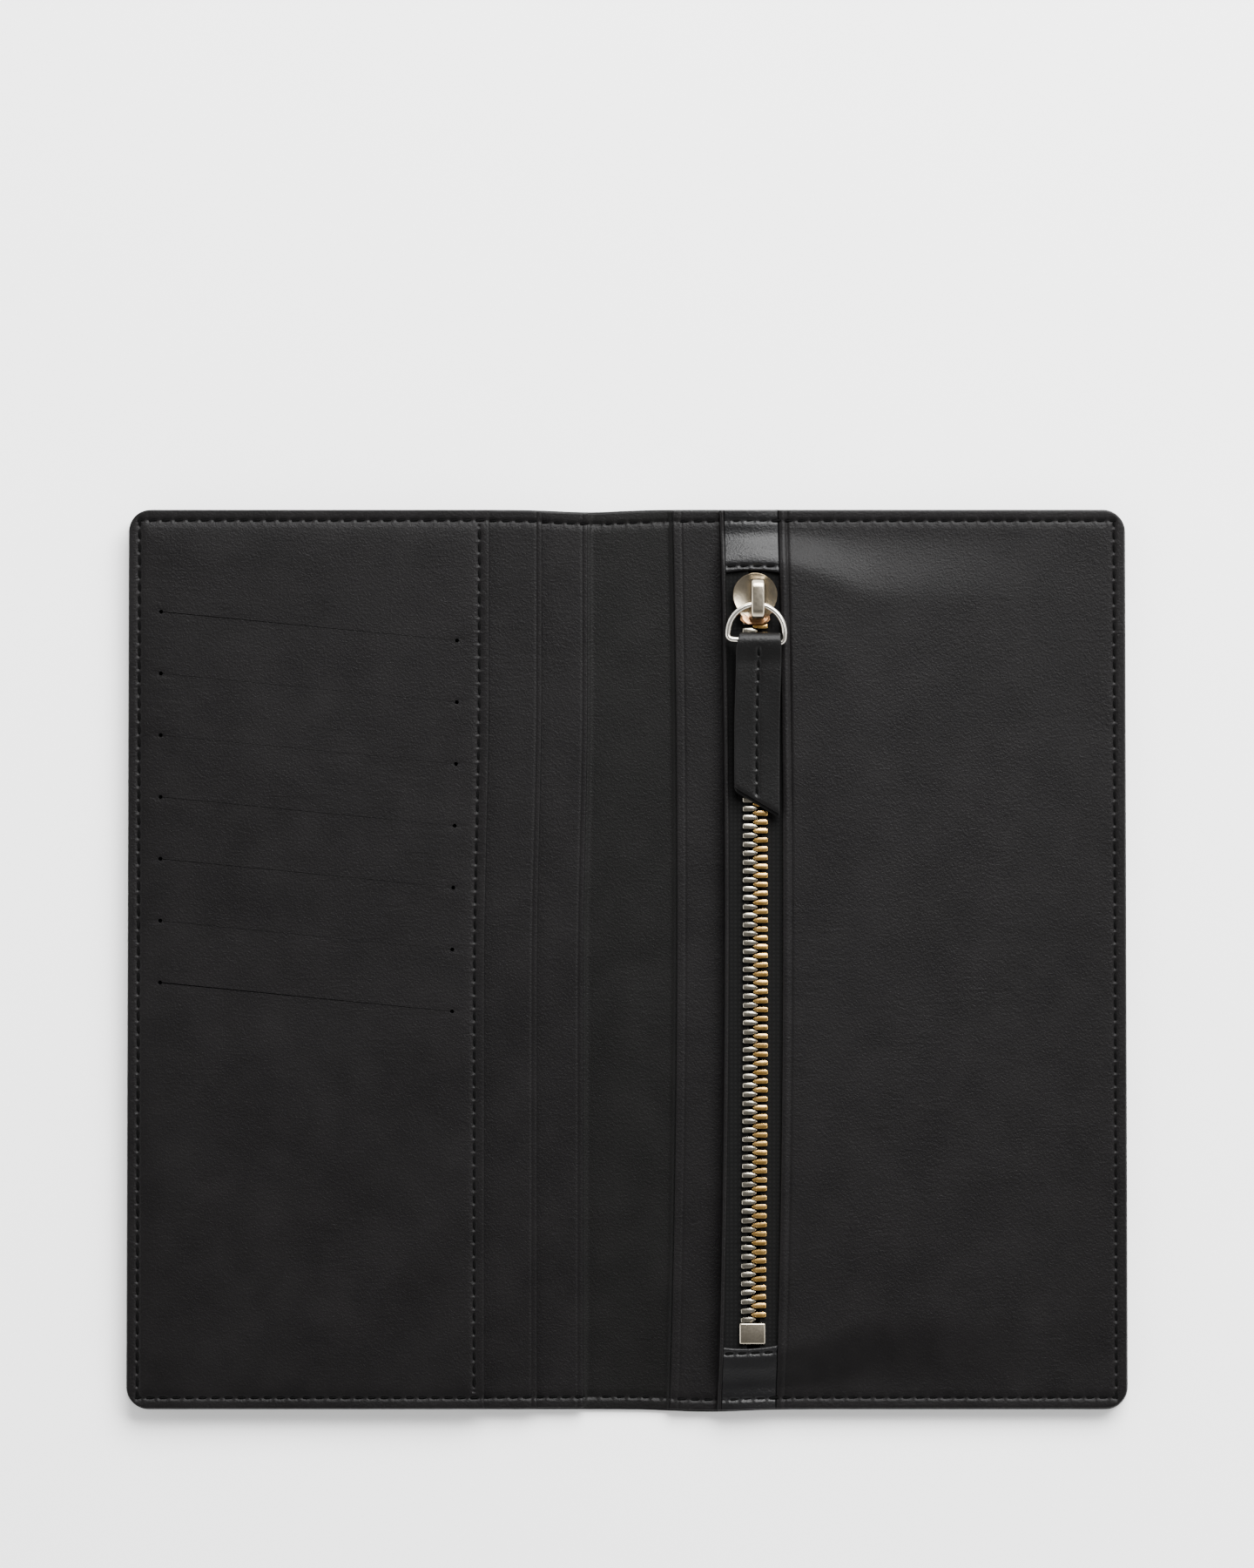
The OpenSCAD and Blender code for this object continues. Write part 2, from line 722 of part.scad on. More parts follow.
// Leather strip folded round the ring's bar, its two layers sewn together
module pull_strap() {
    color(leather_black)
        difference() {
            translate([zip_x - strap_w / 2, 0, 0]) rotate([90, 0, 90])
                linear_extrude(height = strap_w) difference() {
                    union() {
                        translate([bar_y, ring_z]) circle(strap_r);
                        translate([strap_tip_y, ring_z - strap_t])
                            square([bar_y - strap_tip_y, 2 * strap_t]);
                    }
                    translate([bar_y, ring_z]) circle(strap_bore_r);
                }
            translate([zip_x + strap_w / 2, strap_tip_y, 0])
                rotate([0, 0, 180 - atan(strap_slant / strap_w)])
                    cube([2 * strap_w, 2 * strap_slant, 2 * ring_z]);
        }
}

module stitching_pull_strap() {
    top_y = bar_y + strap_r;
    color(thread_black)
        stitch_row([zip_x, strap_tip_y + strap_seam_end], [zip_x, top_y - strap_seam_start],
                   ring_z + strap_t);
}

// ---- Every node by its name ----

outer_cover_left();
stiffener_left();
lining_left();
long_pocket_back();
long_pocket_middle();
card_panel();
for (i = [0 : card_slots - 1])
    card_pocket(i);
stitching_left_leaf();
stitching_card_panel();
outer_cover_spine();
lining_spine();
stitching_spine();
outer_cover_right();
stiffener_right();
lining_right();
note_pocket_right();
zip_pocket_back();
zip_pocket_bag();
zip_side_wall();
zip_pocket_front();
zip_tape_left();
zip_tape_right();
zip_teeth_left();
zip_teeth_right();
zip_bottom_stop();
zip_end_tab(1);  // zip_end_tab_top
zip_end_tab(-1);  // zip_end_tab_bottom
stitching_right_leaf();
stitching_zip_tabs();
slider_body();
slider_bridge();
pull_ring();
pull_strap();
stitching_pull_strap();
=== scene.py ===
import json
import math

import bmesh
import bpy
import numpy as np
from mathutils import Matrix, Vector


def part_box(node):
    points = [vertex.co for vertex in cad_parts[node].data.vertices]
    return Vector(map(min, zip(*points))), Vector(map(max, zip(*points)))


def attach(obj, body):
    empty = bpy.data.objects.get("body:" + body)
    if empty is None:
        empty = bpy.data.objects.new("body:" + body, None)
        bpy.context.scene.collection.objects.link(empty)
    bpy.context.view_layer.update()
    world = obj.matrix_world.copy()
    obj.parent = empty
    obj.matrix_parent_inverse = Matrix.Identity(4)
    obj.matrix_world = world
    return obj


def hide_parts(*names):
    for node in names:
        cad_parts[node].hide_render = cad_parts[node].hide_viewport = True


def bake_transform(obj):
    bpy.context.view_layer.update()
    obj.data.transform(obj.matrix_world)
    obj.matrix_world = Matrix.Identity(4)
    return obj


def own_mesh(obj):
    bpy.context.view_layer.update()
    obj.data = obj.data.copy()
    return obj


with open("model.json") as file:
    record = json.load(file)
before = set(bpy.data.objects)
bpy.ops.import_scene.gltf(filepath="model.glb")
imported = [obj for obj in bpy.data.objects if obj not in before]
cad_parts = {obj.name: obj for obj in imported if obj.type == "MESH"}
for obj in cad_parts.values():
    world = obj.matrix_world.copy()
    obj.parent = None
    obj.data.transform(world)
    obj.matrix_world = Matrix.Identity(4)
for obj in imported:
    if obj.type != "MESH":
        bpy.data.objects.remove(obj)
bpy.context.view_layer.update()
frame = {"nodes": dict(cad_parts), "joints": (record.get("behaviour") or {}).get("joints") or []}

# A long black leather wallet lying open. Everything is in metres, in the CAD frame:
# X across both leaves, Y along the spine, Z up. Each piece takes its place from the CAD nodes.

MM = 0.001
X, Y, Z = 0, 1, 2


def low(node, axis):
    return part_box(node)[0][axis]


def high(node, axis):
    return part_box(node)[1][axis]


def middle(node, axis):
    return (low(node, axis) + high(node, axis)) / 2


# ---- Sizes read from the frame ----

COVER_X = high("outer_cover_right", X)
COVER_Y = high("outer_cover_right", Y)
COVER_TOP = high("outer_cover_right", Z)
PANEL_X = high("note_pocket_right", X)
PANEL_Y = high("note_pocket_right", Y)
SPINE_TOP = high("lining_spine", Z)
LEAF_TOP = high("lining_right", Z)
FOLD_X = [abs(j["pos_m"][0]) for j in frame["joints"] if j["name"] == "fold_left"][0]
BACK_MOUTH = -high("long_pocket_back", X)
MIDDLE_MOUTH = -high("long_pocket_middle", X)
CARD_EDGE = -high("card_panel", X)
NOTE_MOUTH = low("note_pocket_right", X)
WALL_X0, WALL_X1 = low("zip_side_wall", X), high("zip_side_wall", X)
ROOF_X = low("zip_pocket_front", X)
ROOF_TOP = high("zip_pocket_front", Z)
TAB_Y = low("zip_end_tab_top", Y)
ZIP_X = middle("zip_bottom_stop", X)
CHAIN_Z = middle("zip_bottom_stop", Z)
TAPE_TOP = high("zip_tape_left", Z)

# ---- Sizes of the finish, which the CAD solids don't show ----

CORNER_R = 4.5 * MM          # outer corners of the cover
SEAM_IN = 2.5 * MM           # seam line from the cover's edge
PITCH = 2.6 * MM             # from one stitch to the next
THREAD_R = 0.24 * MM
SEAM_X, SEAM_Y = COVER_X - SEAM_IN, COVER_Y - SEAM_IN
FINE = PITCH / 8             # grid step along a seam
COARSE = PITCH / 2           # grid step elsewhere
ACROSS = [k * 0.13 * MM for k in (-5, -3, -2, -1, 0, 1, 2, 3, 5)]    # grid lines across a seam
BORDER = 4.0 * MM            # sewn border of a pocket panel
ROOF_SLOPE = 8.0 * MM        # slope of the zip pocket down to its border

# ---- The slight unevenness of a hand-made piece ----


def ease(t):
    t = np.clip(t, 0, 1)
    return t * t * (3 - 2 * t)


def bell(x, centre, width):
    return np.exp(-(((x - centre) / width) ** 2))


def settle(x, y):
    """Where a point of the leather really lies: pocket mouths bow a little, and the cover's
    ends wander by half a millimetre beside the folds. Returns the new x and y."""
    drift = (0.45 - 0.9 * ease((55 * MM - y) / (60 * MM))) * MM
    left = drift * ease((x + 55 * MM) / (20 * MM)) * ease((-2 * MM - x) / (4 * MM))
    bow = (0.7 - 0.8 * ((y - 12 * MM) / (75 * MM)) ** 2) * MM
    right = bow * ease((x - 3 * MM) / (4 * MM)) * ease((62 * MM - x) / (25 * MM))
    top = -0.5 * MM * bell(x, -8 * MM, 9 * MM) * ease((y - 30 * MM) / (50 * MM))
    end = -0.5 * MM * bell(x, 17 * MM, 10 * MM) * ease((-30 * MM - y) / (50 * MM))
    return x + left + right, y + top + end


def settle_chain(x, y):
    """The same for the zip's chain, which bows less than the leather on either side."""
    bow = -0.45 * MM * ease((-10 * MM - y) / (70 * MM))
    loose = ease((np.abs(x - ZIP_X) - 3 * MM) / (3 * MM))
    leather_x, new_y = settle(x, y)
    return x + bow * (1 - loose) + (leather_x - x) * loose, new_y


# ---- Mesh building ----


def mesh_object(name, vertices, faces, smooth_angle=35, move=settle):
    points = np.array(vertices, dtype=float)
    if move:
        points[:, X], points[:, Y] = move(points[:, X], points[:, Y])
    mesh = bpy.data.meshes.new(name)
    mesh.from_pydata(points.tolist(), [], [[int(i) for i in f] for f in faces])
    mesh.validate()
    mesh.update()
    mesh.shade_smooth()
    mesh.set_sharp_from_angle(angle=math.radians(smooth_angle))
    piece = bpy.data.objects.new(name, mesh)
    bpy.context.scene.collection.objects.link(piece)
    return piece


def finish_piece(piece, material, body, nodes=()):
    piece.data.materials.clear()
    piece.data.materials.append(material)
    if body:
        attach(piece, body)
    if nodes:
        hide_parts(*nodes)
    return piece


def apply_modifiers(piece):
    graph = bpy.context.evaluated_depsgraph_get()
    done = bpy.data.meshes.new_from_object(piece.evaluated_get(graph))
    piece.modifiers.clear()
    piece.data = done
    return piece


def spaced(lo, hi, step, near=()):
    """Grid lines from lo to hi, step apart, with extra lines at the offsets in near from both ends."""
    first = math.ceil(lo / step) * step
    values = list(np.arange(first, hi, step)) + [lo, hi]
    values += [lo + d for d in near] + [hi - d for d in near]
    values = sorted(v for v in values if lo <= v <= hi)
    kept = [lo]
    for v in values:
        if v - kept[-1] > 0.035 * MM:
            kept.append(v)
    if hi - kept[-1] > 1e-9:
        kept[-1] = hi if hi - kept[-1] < 0.035 * MM else kept[-1]
        if kept[-1] < hi:
            kept.append(hi)
    return np.array(kept)


def with_lines(values, *extra):
    """The grid lines with more of them added."""
    lo, hi = values[0], values[-1]
    more = [v for group in extra for v in group if lo < v < hi]
    merged = sorted(list(values) + more)
    kept = [lo]
    for v in merged[1:]:
        if v - kept[-1] > 0.03 * MM:
            kept.append(v)
    kept[-1] = hi
    return np.array(kept)


def fillet(distance, radius):
    """How far a surface has dropped at this distance from a rounded edge."""
    d = np.clip(distance, 0, radius)
    return radius - np.sqrt(np.maximum(radius**2 - (radius - d) ** 2, 0))


EDGE_LINES = [0.05 * MM, 0.12 * MM, 0.22 * MM, 0.36 * MM, 0.6 * MM]
LINES = np.arange(-0.6, 0.61, 0.15) * MM     # grid lines across a crease


def bump_row(distance, along, width=0.55 * MM, groove=0.09 * MM, trough=0.24 * MM, pitch=PITCH):
    """Depth of a sewn seam: a soft groove, and a trough under each stitch. The stitches are
    centred between whole pitches."""
    line = bell(distance, 0, width)
    near = bell(distance, 0, 0.36 * MM)
    from_middle = np.abs((along / pitch) % 1 - 0.5) * pitch
    under = ease((0.46 * pitch - from_middle) / (0.16 * pitch))
    return groove * line + near * trough * under


def seam_depth(x, y):
    """Depth of the seam that runs round the three outer sides of a leaf."""
    side = np.where(np.abs(y) < SEAM_Y + 0.3 * MM, bump_row(np.abs(x - SEAM_X), y), 0)
    ends = np.where(x < SEAM_X + 0.3 * MM, bump_row(np.abs(np.abs(y) - SEAM_Y), x), 0)
    return np.where(np.abs(side) > np.abs(ends), side, ends)


def waves(x, y, seed, size=1.0):
    """Slow, shallow unevenness of leather, the same each time for one seed."""
    draw = np.random.RandomState(seed)
    total = np.zeros_like(x)
    for k in range(9):
        angle = draw.uniform(0, math.pi)
        length = draw.uniform(9, 42) * MM
        shift = draw.uniform(0, 2 * math.pi)
        along = x * math.cos(angle) + y * math.sin(angle)
        total += np.sin(2 * math.pi * along / length + shift) * length
    return size * total * 0.0006


def leaf_grid(inner, outer, half_y, extra_u, extra_v, rows, step):
    """Grid over a leaf with rounded outer corners, each point's distance to the outer edges, and
    the cells. The fine lines count only along the seams at the ends and at the distances in rows."""
    radius = CORNER_R - (COVER_X - outer)
    arc = [outer - radius + radius * math.sin(math.radians(a)) for a in range(0, 90, 6)]
    coarse_u = with_lines(spaced(inner, outer, step, EDGE_LINES), arc, extra_u,
                          [r + d for r in rows for d in ACROSS])
    coarse_v = with_lines(spaced(-half_y, half_y, step, EDGE_LINES), extra_v,
                          [sign * SEAM_Y + d for sign in (-1, 1) for d in ACROSS])
    us, vs = [np.array(sorted(list(coarse) + [v for v in np.arange(lo, hi, FINE)
                                              if np.abs(coarse - v).min() > 0.05 * MM]))
              for coarse, lo, hi in ((coarse_u, inner, outer), (coarse_v, -half_y + 3 * MM, half_y - 3 * MM))]
    keep_u, keep_v = np.flatnonzero(np.isin(us, coarse_u)), np.flatnonzero(np.isin(vs, coarse_v))
    cells = []
    used = np.zeros((len(us), len(vs)), bool)
    for a, b in zip(keep_u[:-1], keep_u[1:]):
        by_side = any(abs((us[a] + us[b]) / 2 - r) < 0.66 * MM for r in rows)
        for c, d in zip(keep_v[:-1], keep_v[1:]):
            by_end = rows and abs(abs(vs[c] + vs[d]) / 2 - SEAM_Y) < 0.66 * MM
            i = range(a, b + 1) if by_end else (a, b)
            j = range(c, d + 1) if by_side else (c, d)
            cells += [(i0, i1, j0, j1) for i0, i1 in zip(i[:-1], i[1:]) for j0, j1 in zip(j[:-1], j[1:])]
            used[np.ix_(i, j)] = True
    U, V = np.meshgrid(us, vs, indexing="ij")
    over = np.clip(U - (outer - radius), 0, radius)
    reach = half_y - radius + np.sqrt(np.maximum(radius**2 - over**2, 0))
    W = V * reach / half_y
    in_corner = (U > outer - radius) & (np.abs(W) > half_y - radius)
    from_corner = radius - np.hypot(U - (outer - radius), np.abs(W) - (half_y - radius))
    edge = np.minimum(outer - U, half_y - np.abs(W))
    edge = np.where(in_corner, from_corner, edge)
    return U, W, np.maximum(edge, 0), (cells, used)


def close_grid(side, U, W, top, bottom, flat_below=False, patch=None):
    """Vertices and faces of a closed slab between two height grids. patch gives the cells and
    the grid points in use, where not all of them are."""
    n, m = U.shape
    cells, used = patch or ([(i, i + 1, j, j + 1) for i in range(n - 1) for j in range(m - 1)],
                            np.ones((n, m), bool))
    over = np.stack([side * U, W, top], -1)[used]
    under = np.stack([side * U, W, bottom], -1)[used]
    index = np.full((n, m), -1)
    index[used] = np.arange(len(over))

    def loop(*parts):
        return [int(k) for part in parts for k in part if k >= 0]

    faces = [loop(index[a:b, c], index[b, c:d], index[b:a:-1, d], index[a, d:c:-1]) for a, b, c, d in cells]
    ring = loop(index[:, 0], index[-1, 1:], index[-2::-1, -1], index[0, -2:0:-1])
    base = len(over)
    if flat_below:
        under = under[ring]
        low_ring = [base + k for k in range(len(ring))]
        faces.append(low_ring[::-1])
    else:
        faces += [[base + k for k in reversed(f)] for f in faces]
        low_ring = [base + k for k in ring]
    for k in range(len(ring)):
        j = (k + 1) % len(ring)
        faces.append([ring[k], low_ring[k], low_ring[j], ring[j]])
    if side < 0:
        faces = [f[::-1] for f in faces]
    return np.vstack([over, under]), faces


def leaf_sheet(name, side, inner, top, bottom, edge_r, outer=PANEL_X, half_y=PANEL_Y, extra_u=(),
               extra_v=(), rows=(SEAM_X,), step=COARSE, flat_below=False):
    """A leather sheet over one leaf. top and bottom give its heights from (u, y), where u is
    the distance from the middle of the spine."""
    U, W, edge, patch = leaf_grid(inner, outer, half_y, extra_u, extra_v, rows, step)
    if inner > 0:
        edge = np.minimum(edge, U - inner)
    upper = top(U, W) - fillet(edge, edge_r)
    lower = bottom(U, W) + fillet(edge, edge_r * 0.8)
    vertices, faces = close_grid(side, U, W, upper, lower, flat_below, patch)
    return mesh_object(name, vertices, faces)


# ---- Materials ----


class Shader:
    """A node material being built: each call adds one node and returns it."""

    def __init__(self, name):
        self.material = bpy.data.materials.new(name)
        self.material.use_nodes = True
        self.tree = self.material.node_tree
        self.nodes = self.tree.nodes
        self.surface = self.nodes["Principled BSDF"]
        place = self.add("ShaderNodeTexCoord")
        scale = self.add("ShaderNodeMapping")
        scale.inputs["Scale"].default_value = (1 / MM, 1 / MM, 1 / MM)
        self.link(place.outputs["Object"], scale.inputs["Vector"])
        self.mm = scale.outputs["Vector"]

    def add(self, kind, **settings):
        node = self.nodes.new(kind)
        for key, value in settings.items():
            setattr(node, key, value)
        return node

    def link(self, a, b):
        self.tree.links.new(a, b)

    def stretch(self, x, y, z, turn=0.0):
        node = self.add("ShaderNodeMapping")
        node.inputs["Scale"].default_value = (x, y, z)
        node.inputs["Rotation"].default_value = (0, 0, turn)
        self.link(self.mm, node.inputs["Vector"])
        return node.outputs["Vector"]

    def noise(self, scale, detail=2.0, rough=0.5, vector=None, distortion=0.0):
        node = self.add("ShaderNodeTexNoise")
        node.inputs["Scale"].default_value = scale
        node.inputs["Detail"].default_value = detail
        node.inputs["Roughness"].default_value = rough
        node.inputs["Distortion"].default_value = distortion
        self.link(vector or self.mm, node.inputs["Vector"])
        return node.outputs["Fac"]

    def cells(self, scale, vector=None, feature="SMOOTH_F1"):
        node = self.add("ShaderNodeTexVoronoi", feature=feature)
        node.inputs["Scale"].default_value = scale
        self.link(vector or self.mm, node.inputs["Vector"])
        return node.outputs["Distance"]

    def math(self, kind, a, b=0.0, clamp=False):
        node = self.add("ShaderNodeMath", operation=kind, use_clamp=clamp)
        for socket, value in ((node.inputs[0], a), (node.inputs[1], b)):
            if isinstance(value, (int, float)):
                socket.default_value = value
            else:
                self.link(value, socket)
        return node.outputs[0]

    def ramp(self, value, lo, hi, out_lo=0.0, out_hi=1.0):
        node = self.add("ShaderNodeMapRange", clamp=True)
        self.link(value, node.inputs["Value"])
        for socket, number in zip(("From Min", "From Max", "To Min", "To Max"), (lo, hi, out_lo, out_hi)):
            node.inputs[socket].default_value = number
        return node.outputs["Result"]

    def mix(self, fac, a, b):
        node = self.add("ShaderNodeMix", data_type="RGBA")
        self.link(fac, node.inputs["Factor"])
        for socket, colour in ((node.inputs[6], a), (node.inputs[7], b)):
            if isinstance(colour, tuple):
                socket.default_value = (*colour, 1)
            else:
                self.link(colour, socket)
        return node.outputs[2]

    def bump(self, height, distance, strength=1.0, below=None):
        node = self.add("ShaderNodeBump")
        node.inputs["Strength"].default_value = strength
        node.inputs["Distance"].default_value = distance
        self.link(height, node.inputs["Height"])
        if below:
            self.link(below, node.inputs["Normal"])
        return node.outputs["Normal"]

    def set(self, **values):
        for key, value in values.items():
            self.surface.inputs[key.replace("_", " ")].default_value = value


def leather(name, dark, light, rough=(0.38, 0.48), grain=1.0, specular=0.085):
    """Fine-grain leather: small pebbles, finer pores, a few wrinkles, and slow shifts of gloss."""
    s = Shader(name)
    warp = s.noise(0.9, 2.0)
    moved = s.add("ShaderNodeVectorMath", operation="MULTIPLY_ADD")
    s.link(warp, moved.inputs[0])
    moved.inputs[1].default_value = (0.8, 0.8, 0.8)
    s.link(s.mm, moved.inputs[2])
    pebble = s.cells(2.5, moved.outputs[0])
    pores = s.noise(4.6, 3.0, 0.6)
    wrinkle = s.noise(0.55, 3.0, 0.6, s.stretch(0.35, 1.6, 1.0, 0.15), 0.6)
    patch = s.ramp(s.noise(0.045, 2.0), 0.46, 0.66)
    height = s.math("ADD", s.math("MULTIPLY", pebble, 0.55), s.math("MULTIPLY", pores, 0.5))
    folds = s.math("MULTIPLY", s.math("MULTIPLY", wrinkle, patch), 0.6)
    height = s.math("ADD", height, folds)
    s.link(s.bump(height, 0.085 * MM * grain), s.surface.inputs["Normal"])
    tone = s.ramp(s.noise(0.12, 3.0), 0.3, 0.7)
    s.link(s.mix(tone, dark, light), s.surface.inputs["Base Color"])
    gloss = s.math("ADD", s.math("MULTIPLY", s.noise(0.07, 2.0), 0.6), s.math("MULTIPLY", pores, 0.4))
    s.link(s.ramp(gloss, 0.3, 0.7, rough[0], rough[1]), s.surface.inputs["Roughness"])
    s.set(Specular_IOR_Level=specular)
    return s.material


def thread_material():
    s = Shader("waxed_thread")
    twist = s.add("ShaderNodeTexWave", wave_type="BANDS", bands_direction="DIAGONAL")
    twist.inputs["Scale"].default_value = 1.6
    s.link(s.mm, twist.inputs["Vector"])
    s.link(s.bump(twist.outputs["Fac"], 0.02 * MM), s.surface.inputs["Normal"])
    tone = s.ramp(s.noise(0.8, 2.0), 0.3, 0.7)
    # near-black, darker than the leather: partly the thread's own black, partly painted shade for the dark troughs the
    # stitches sink into
    s.link(s.mix(tone, (0.0008, 0.0008, 0.0008), (0.002, 0.002, 0.002)), s.surface.inputs["Base Color"])
    s.set(Roughness=0.85, Specular_IOR_Level=0.04)
    return s.material


def woven(name, dark, light, scale, rough=0.85, depth=0.05):
    """Fine plain weave: two crossed sets of bands."""
    s = Shader(name)
    height = None
    for direction in ("X", "Y"):
        band = s.add("ShaderNodeTexWave", wave_type="BANDS", bands_direction=direction)
        band.inputs["Scale"].default_value = scale
        band.inputs["Distortion"].default_value = 0.4
        s.link(s.mm, band.inputs["Vector"])
        height = band.outputs["Fac"] if height is None else s.math("MULTIPLY", height, band.outputs["Fac"])
    s.link(s.bump(height, depth * MM), s.surface.inputs["Normal"])
    tone = s.ramp(s.math("ADD", height, s.math("MULTIPLY", s.noise(0.8, 3.0), 0.6)), 0.2, 1.2)
    s.link(s.mix(tone, dark, light), s.surface.inputs["Base Color"])
    s.set(Roughness=rough, Specular_IOR_Level=0.06, Sheen_Weight=0.03, Sheen_Roughness=0.5)
    return s.material


def plated(name, dark, light, rough=(0.24, 0.32), second_colour=None, second_colour_y=0.0):
    """Plated metal, with faint handling marks and dulled patches. Below the given height, in mm,
    the colour turns to the given second colour."""
    s = Shader(name)
    marks = s.noise(2.2, 4.0, 0.65)
    fine = s.noise(7.0, 2.0, 0.5, s.stretch(1.0, 0.25, 1.0))
    height = s.math("ADD", s.math("MULTIPLY", marks, 0.6), s.math("MULTIPLY", fine, 0.4))
    s.link(s.bump(height, 0.006 * MM), s.surface.inputs["Normal"])
    tone = s.ramp(s.noise(0.45, 3.0), 0.35, 0.65)
    colour = s.mix(tone, dark, light)
    if second_colour:
        place = s.add("ShaderNodeSeparateXYZ")
        s.link(s.mm, place.inputs[0])
        edge = s.math("ADD", place.outputs["Y"], s.math("MULTIPLY", marks, 0.6))
        colour = s.mix(s.ramp(edge, second_colour_y - 0.2, second_colour_y + 0.7), second_colour, colour)
    s.link(colour, s.surface.inputs["Base Color"])
    s.link(s.ramp(marks, 0.3, 0.7, rough[0], rough[1]), s.surface.inputs["Roughness"])
    s.set(Metallic=1.0)
    return s.material


def board_material():
    s = Shader("grey_board")
    fibre = s.noise(1.5, 5.0, 0.7)
    s.link(s.bump(fibre, 0.03 * MM), s.surface.inputs["Normal"])
    s.link(s.mix(fibre, (0.30, 0.27, 0.22), (0.45, 0.41, 0.35)), s.surface.inputs["Base Color"])
    s.set(Roughness=0.9)
    return s.material


COVER_LEATHER = leather("cover_leather", (0.0025, 0.0024, 0.0024), (0.0038, 0.0036, 0.0036), grain=1.1)
PANEL_LEATHER = leather("panel_leather", (0.0028, 0.0025, 0.0026), (0.0042, 0.0038, 0.0039))
LINING_LEATHER = leather("lining_leather", (0.0024, 0.0023, 0.0022), (0.0036, 0.0034, 0.0033), grain=0.9)
STRAP_LEATHER = leather("strap_leather", (0.0026, 0.0025, 0.0025), (0.0040, 0.0039, 0.0039),
                        rough=(0.32, 0.42), grain=0.7, specular=0.12)
TAB_LEATHER = leather("tab_leather", (0.0026, 0.0025, 0.0027), (0.0040, 0.0039, 0.0042),
                      rough=(0.32, 0.42), grain=0.9, specular=0.17)
THREAD = thread_material()
POCKET_FABRIC = woven("pocket_fabric", (0.004, 0.004, 0.005), (0.014, 0.014, 0.016), 2.2)
TAPE_FABRIC = woven("zip_tape_fabric", (0.0018, 0.0018, 0.0018), (0.0040, 0.0040, 0.0040), 0.37, depth=0.02)
NICKEL = plated("nickel_teeth", (0.36, 0.33, 0.27), (0.46, 0.42, 0.34), rough=(0.2, 0.27))
BRASS = plated("brass_teeth", (0.64, 0.37, 0.10), (0.80, 0.50, 0.17), rough=(0.2, 0.27))
# the slider's tail, below the disc, turns to a warmer orange-brown colour
SLIDER_METAL = plated("slider_metal", (0.31, 0.265, 0.195), (0.37, 0.32, 0.24), rough=(0.22, 0.26),
                      second_colour=(0.42, 0.23, 0.12), second_colour_y=(high("slider_body", Y) - 8.3 * MM) / MM)
BRIDGE_METAL = plated("bridge_metal", (0.44, 0.39, 0.30), (0.54, 0.48, 0.38), rough=(0.2, 0.25))
RING_METAL = plated("ring_metal", (0.55, 0.52, 0.46), (0.66, 0.63, 0.57), rough=(0.2, 0.26))
BOARD = board_material()

# ---- Camera, light and floor ----

FRAME_H = 0.31435            # height of the view at the table
CAMERA_FAR = 1.30
WORLD_LOW, WORLD_HIGH = 3.4, 0.18     # light from the horizon and from overhead
CAMERA_TILT = math.radians(2.3)
AIM = Vector((0.0, 0.03493, 0.0))


def make_camera():
    data = bpy.data.cameras.new("camera")
    data.sensor_fit = "VERTICAL"
    data.sensor_height = 36
    data.lens = 36 * CAMERA_FAR / FRAME_H
    camera = bpy.data.objects.new("camera", data)
    away = Vector((0, -math.sin(CAMERA_TILT), math.cos(CAMERA_TILT)))
    camera.location = AIM + away * CAMERA_FAR
    camera.rotation_euler = (CAMERA_TILT, 0, 0)
    bpy.context.scene.collection.objects.link(camera)
    bpy.context.scene.camera = camera


def softbox(name, place, aim, size, power, colour=(1, 1, 1)):
    data = bpy.data.lights.new(name, "AREA")
    data.shape = "RECTANGLE"
    data.size, data.size_y = size
    data.energy = power
    data.color = colour
    lamp = bpy.data.objects.new(name, data)
    lamp.location = place
    lamp.rotation_euler = (Vector(aim) - Vector(place)).to_track_quat("-Z", "Y").to_euler()
    bpy.context.scene.collection.objects.link(lamp)


def make_stage():
    mesh = bpy.data.meshes.new("floor")
    reach = 3.0
    mesh.from_pydata([(-reach, -reach, 0), (reach, -reach, 0), (reach, reach, 0), (-reach, reach, 0)],
                     [], [(0, 1, 2, 3)])
    floor = bpy.data.objects.new("floor", mesh)
    floor.location.z = -0.02 * MM
    s = Shader("pale_floor")
    s.link(s.mix(s.noise(0.02, 2.0), (0.93, 0.93, 0.93), (0.95, 0.95, 0.95)), s.surface.inputs["Base Color"])
    s.set(Roughness=0.9, Specular_IOR_Level=0.1)
    mesh.materials.append(s.material)
    bpy.context.scene.collection.objects.link(floor)
    world = bpy.data.worlds.new("studio")
    world.use_nodes = True
    tree = world.node_tree
    sky = tree.nodes["Background"]
    sky.inputs["Color"].default_value = (1, 1, 1, 1)
    place, parts = tree.nodes.new("ShaderNodeTexCoord"), tree.nodes.new("ShaderNodeSeparateXYZ")
    fade = tree.nodes.new("ShaderNodeMapRange")
    for socket, number in (("From Min", 0.1), ("From Max", 0.85), ("To Min", WORLD_LOW), ("To Max", WORLD_HIGH)):
        fade.inputs[socket].default_value = number
    tree.links.new(place.outputs["Generated"], parts.inputs[0])
    tree.links.new(parts.outputs["Z"], fade.inputs["Value"])
    tree.links.new(fade.outputs["Result"], sky.inputs["Strength"])
    bpy.context.scene.world = world


make_camera()
make_stage()
softbox("key", (0.34, 0.80, 0.85), (0, 0, 0), (1.1, 0.8), 72.0)
softbox("fill_left", (-1.2, -0.2, 0.7), (0, 0, 0), (0.8, 1.0), 4.0)

# ---- Cover ----


def across_fold(piece, side):
    """Bakes the piece's placement into its mesh; the piece is not bent round its leaf's hinge."""
    if side < 0:
        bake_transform(piece)
    else:
        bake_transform(piece)


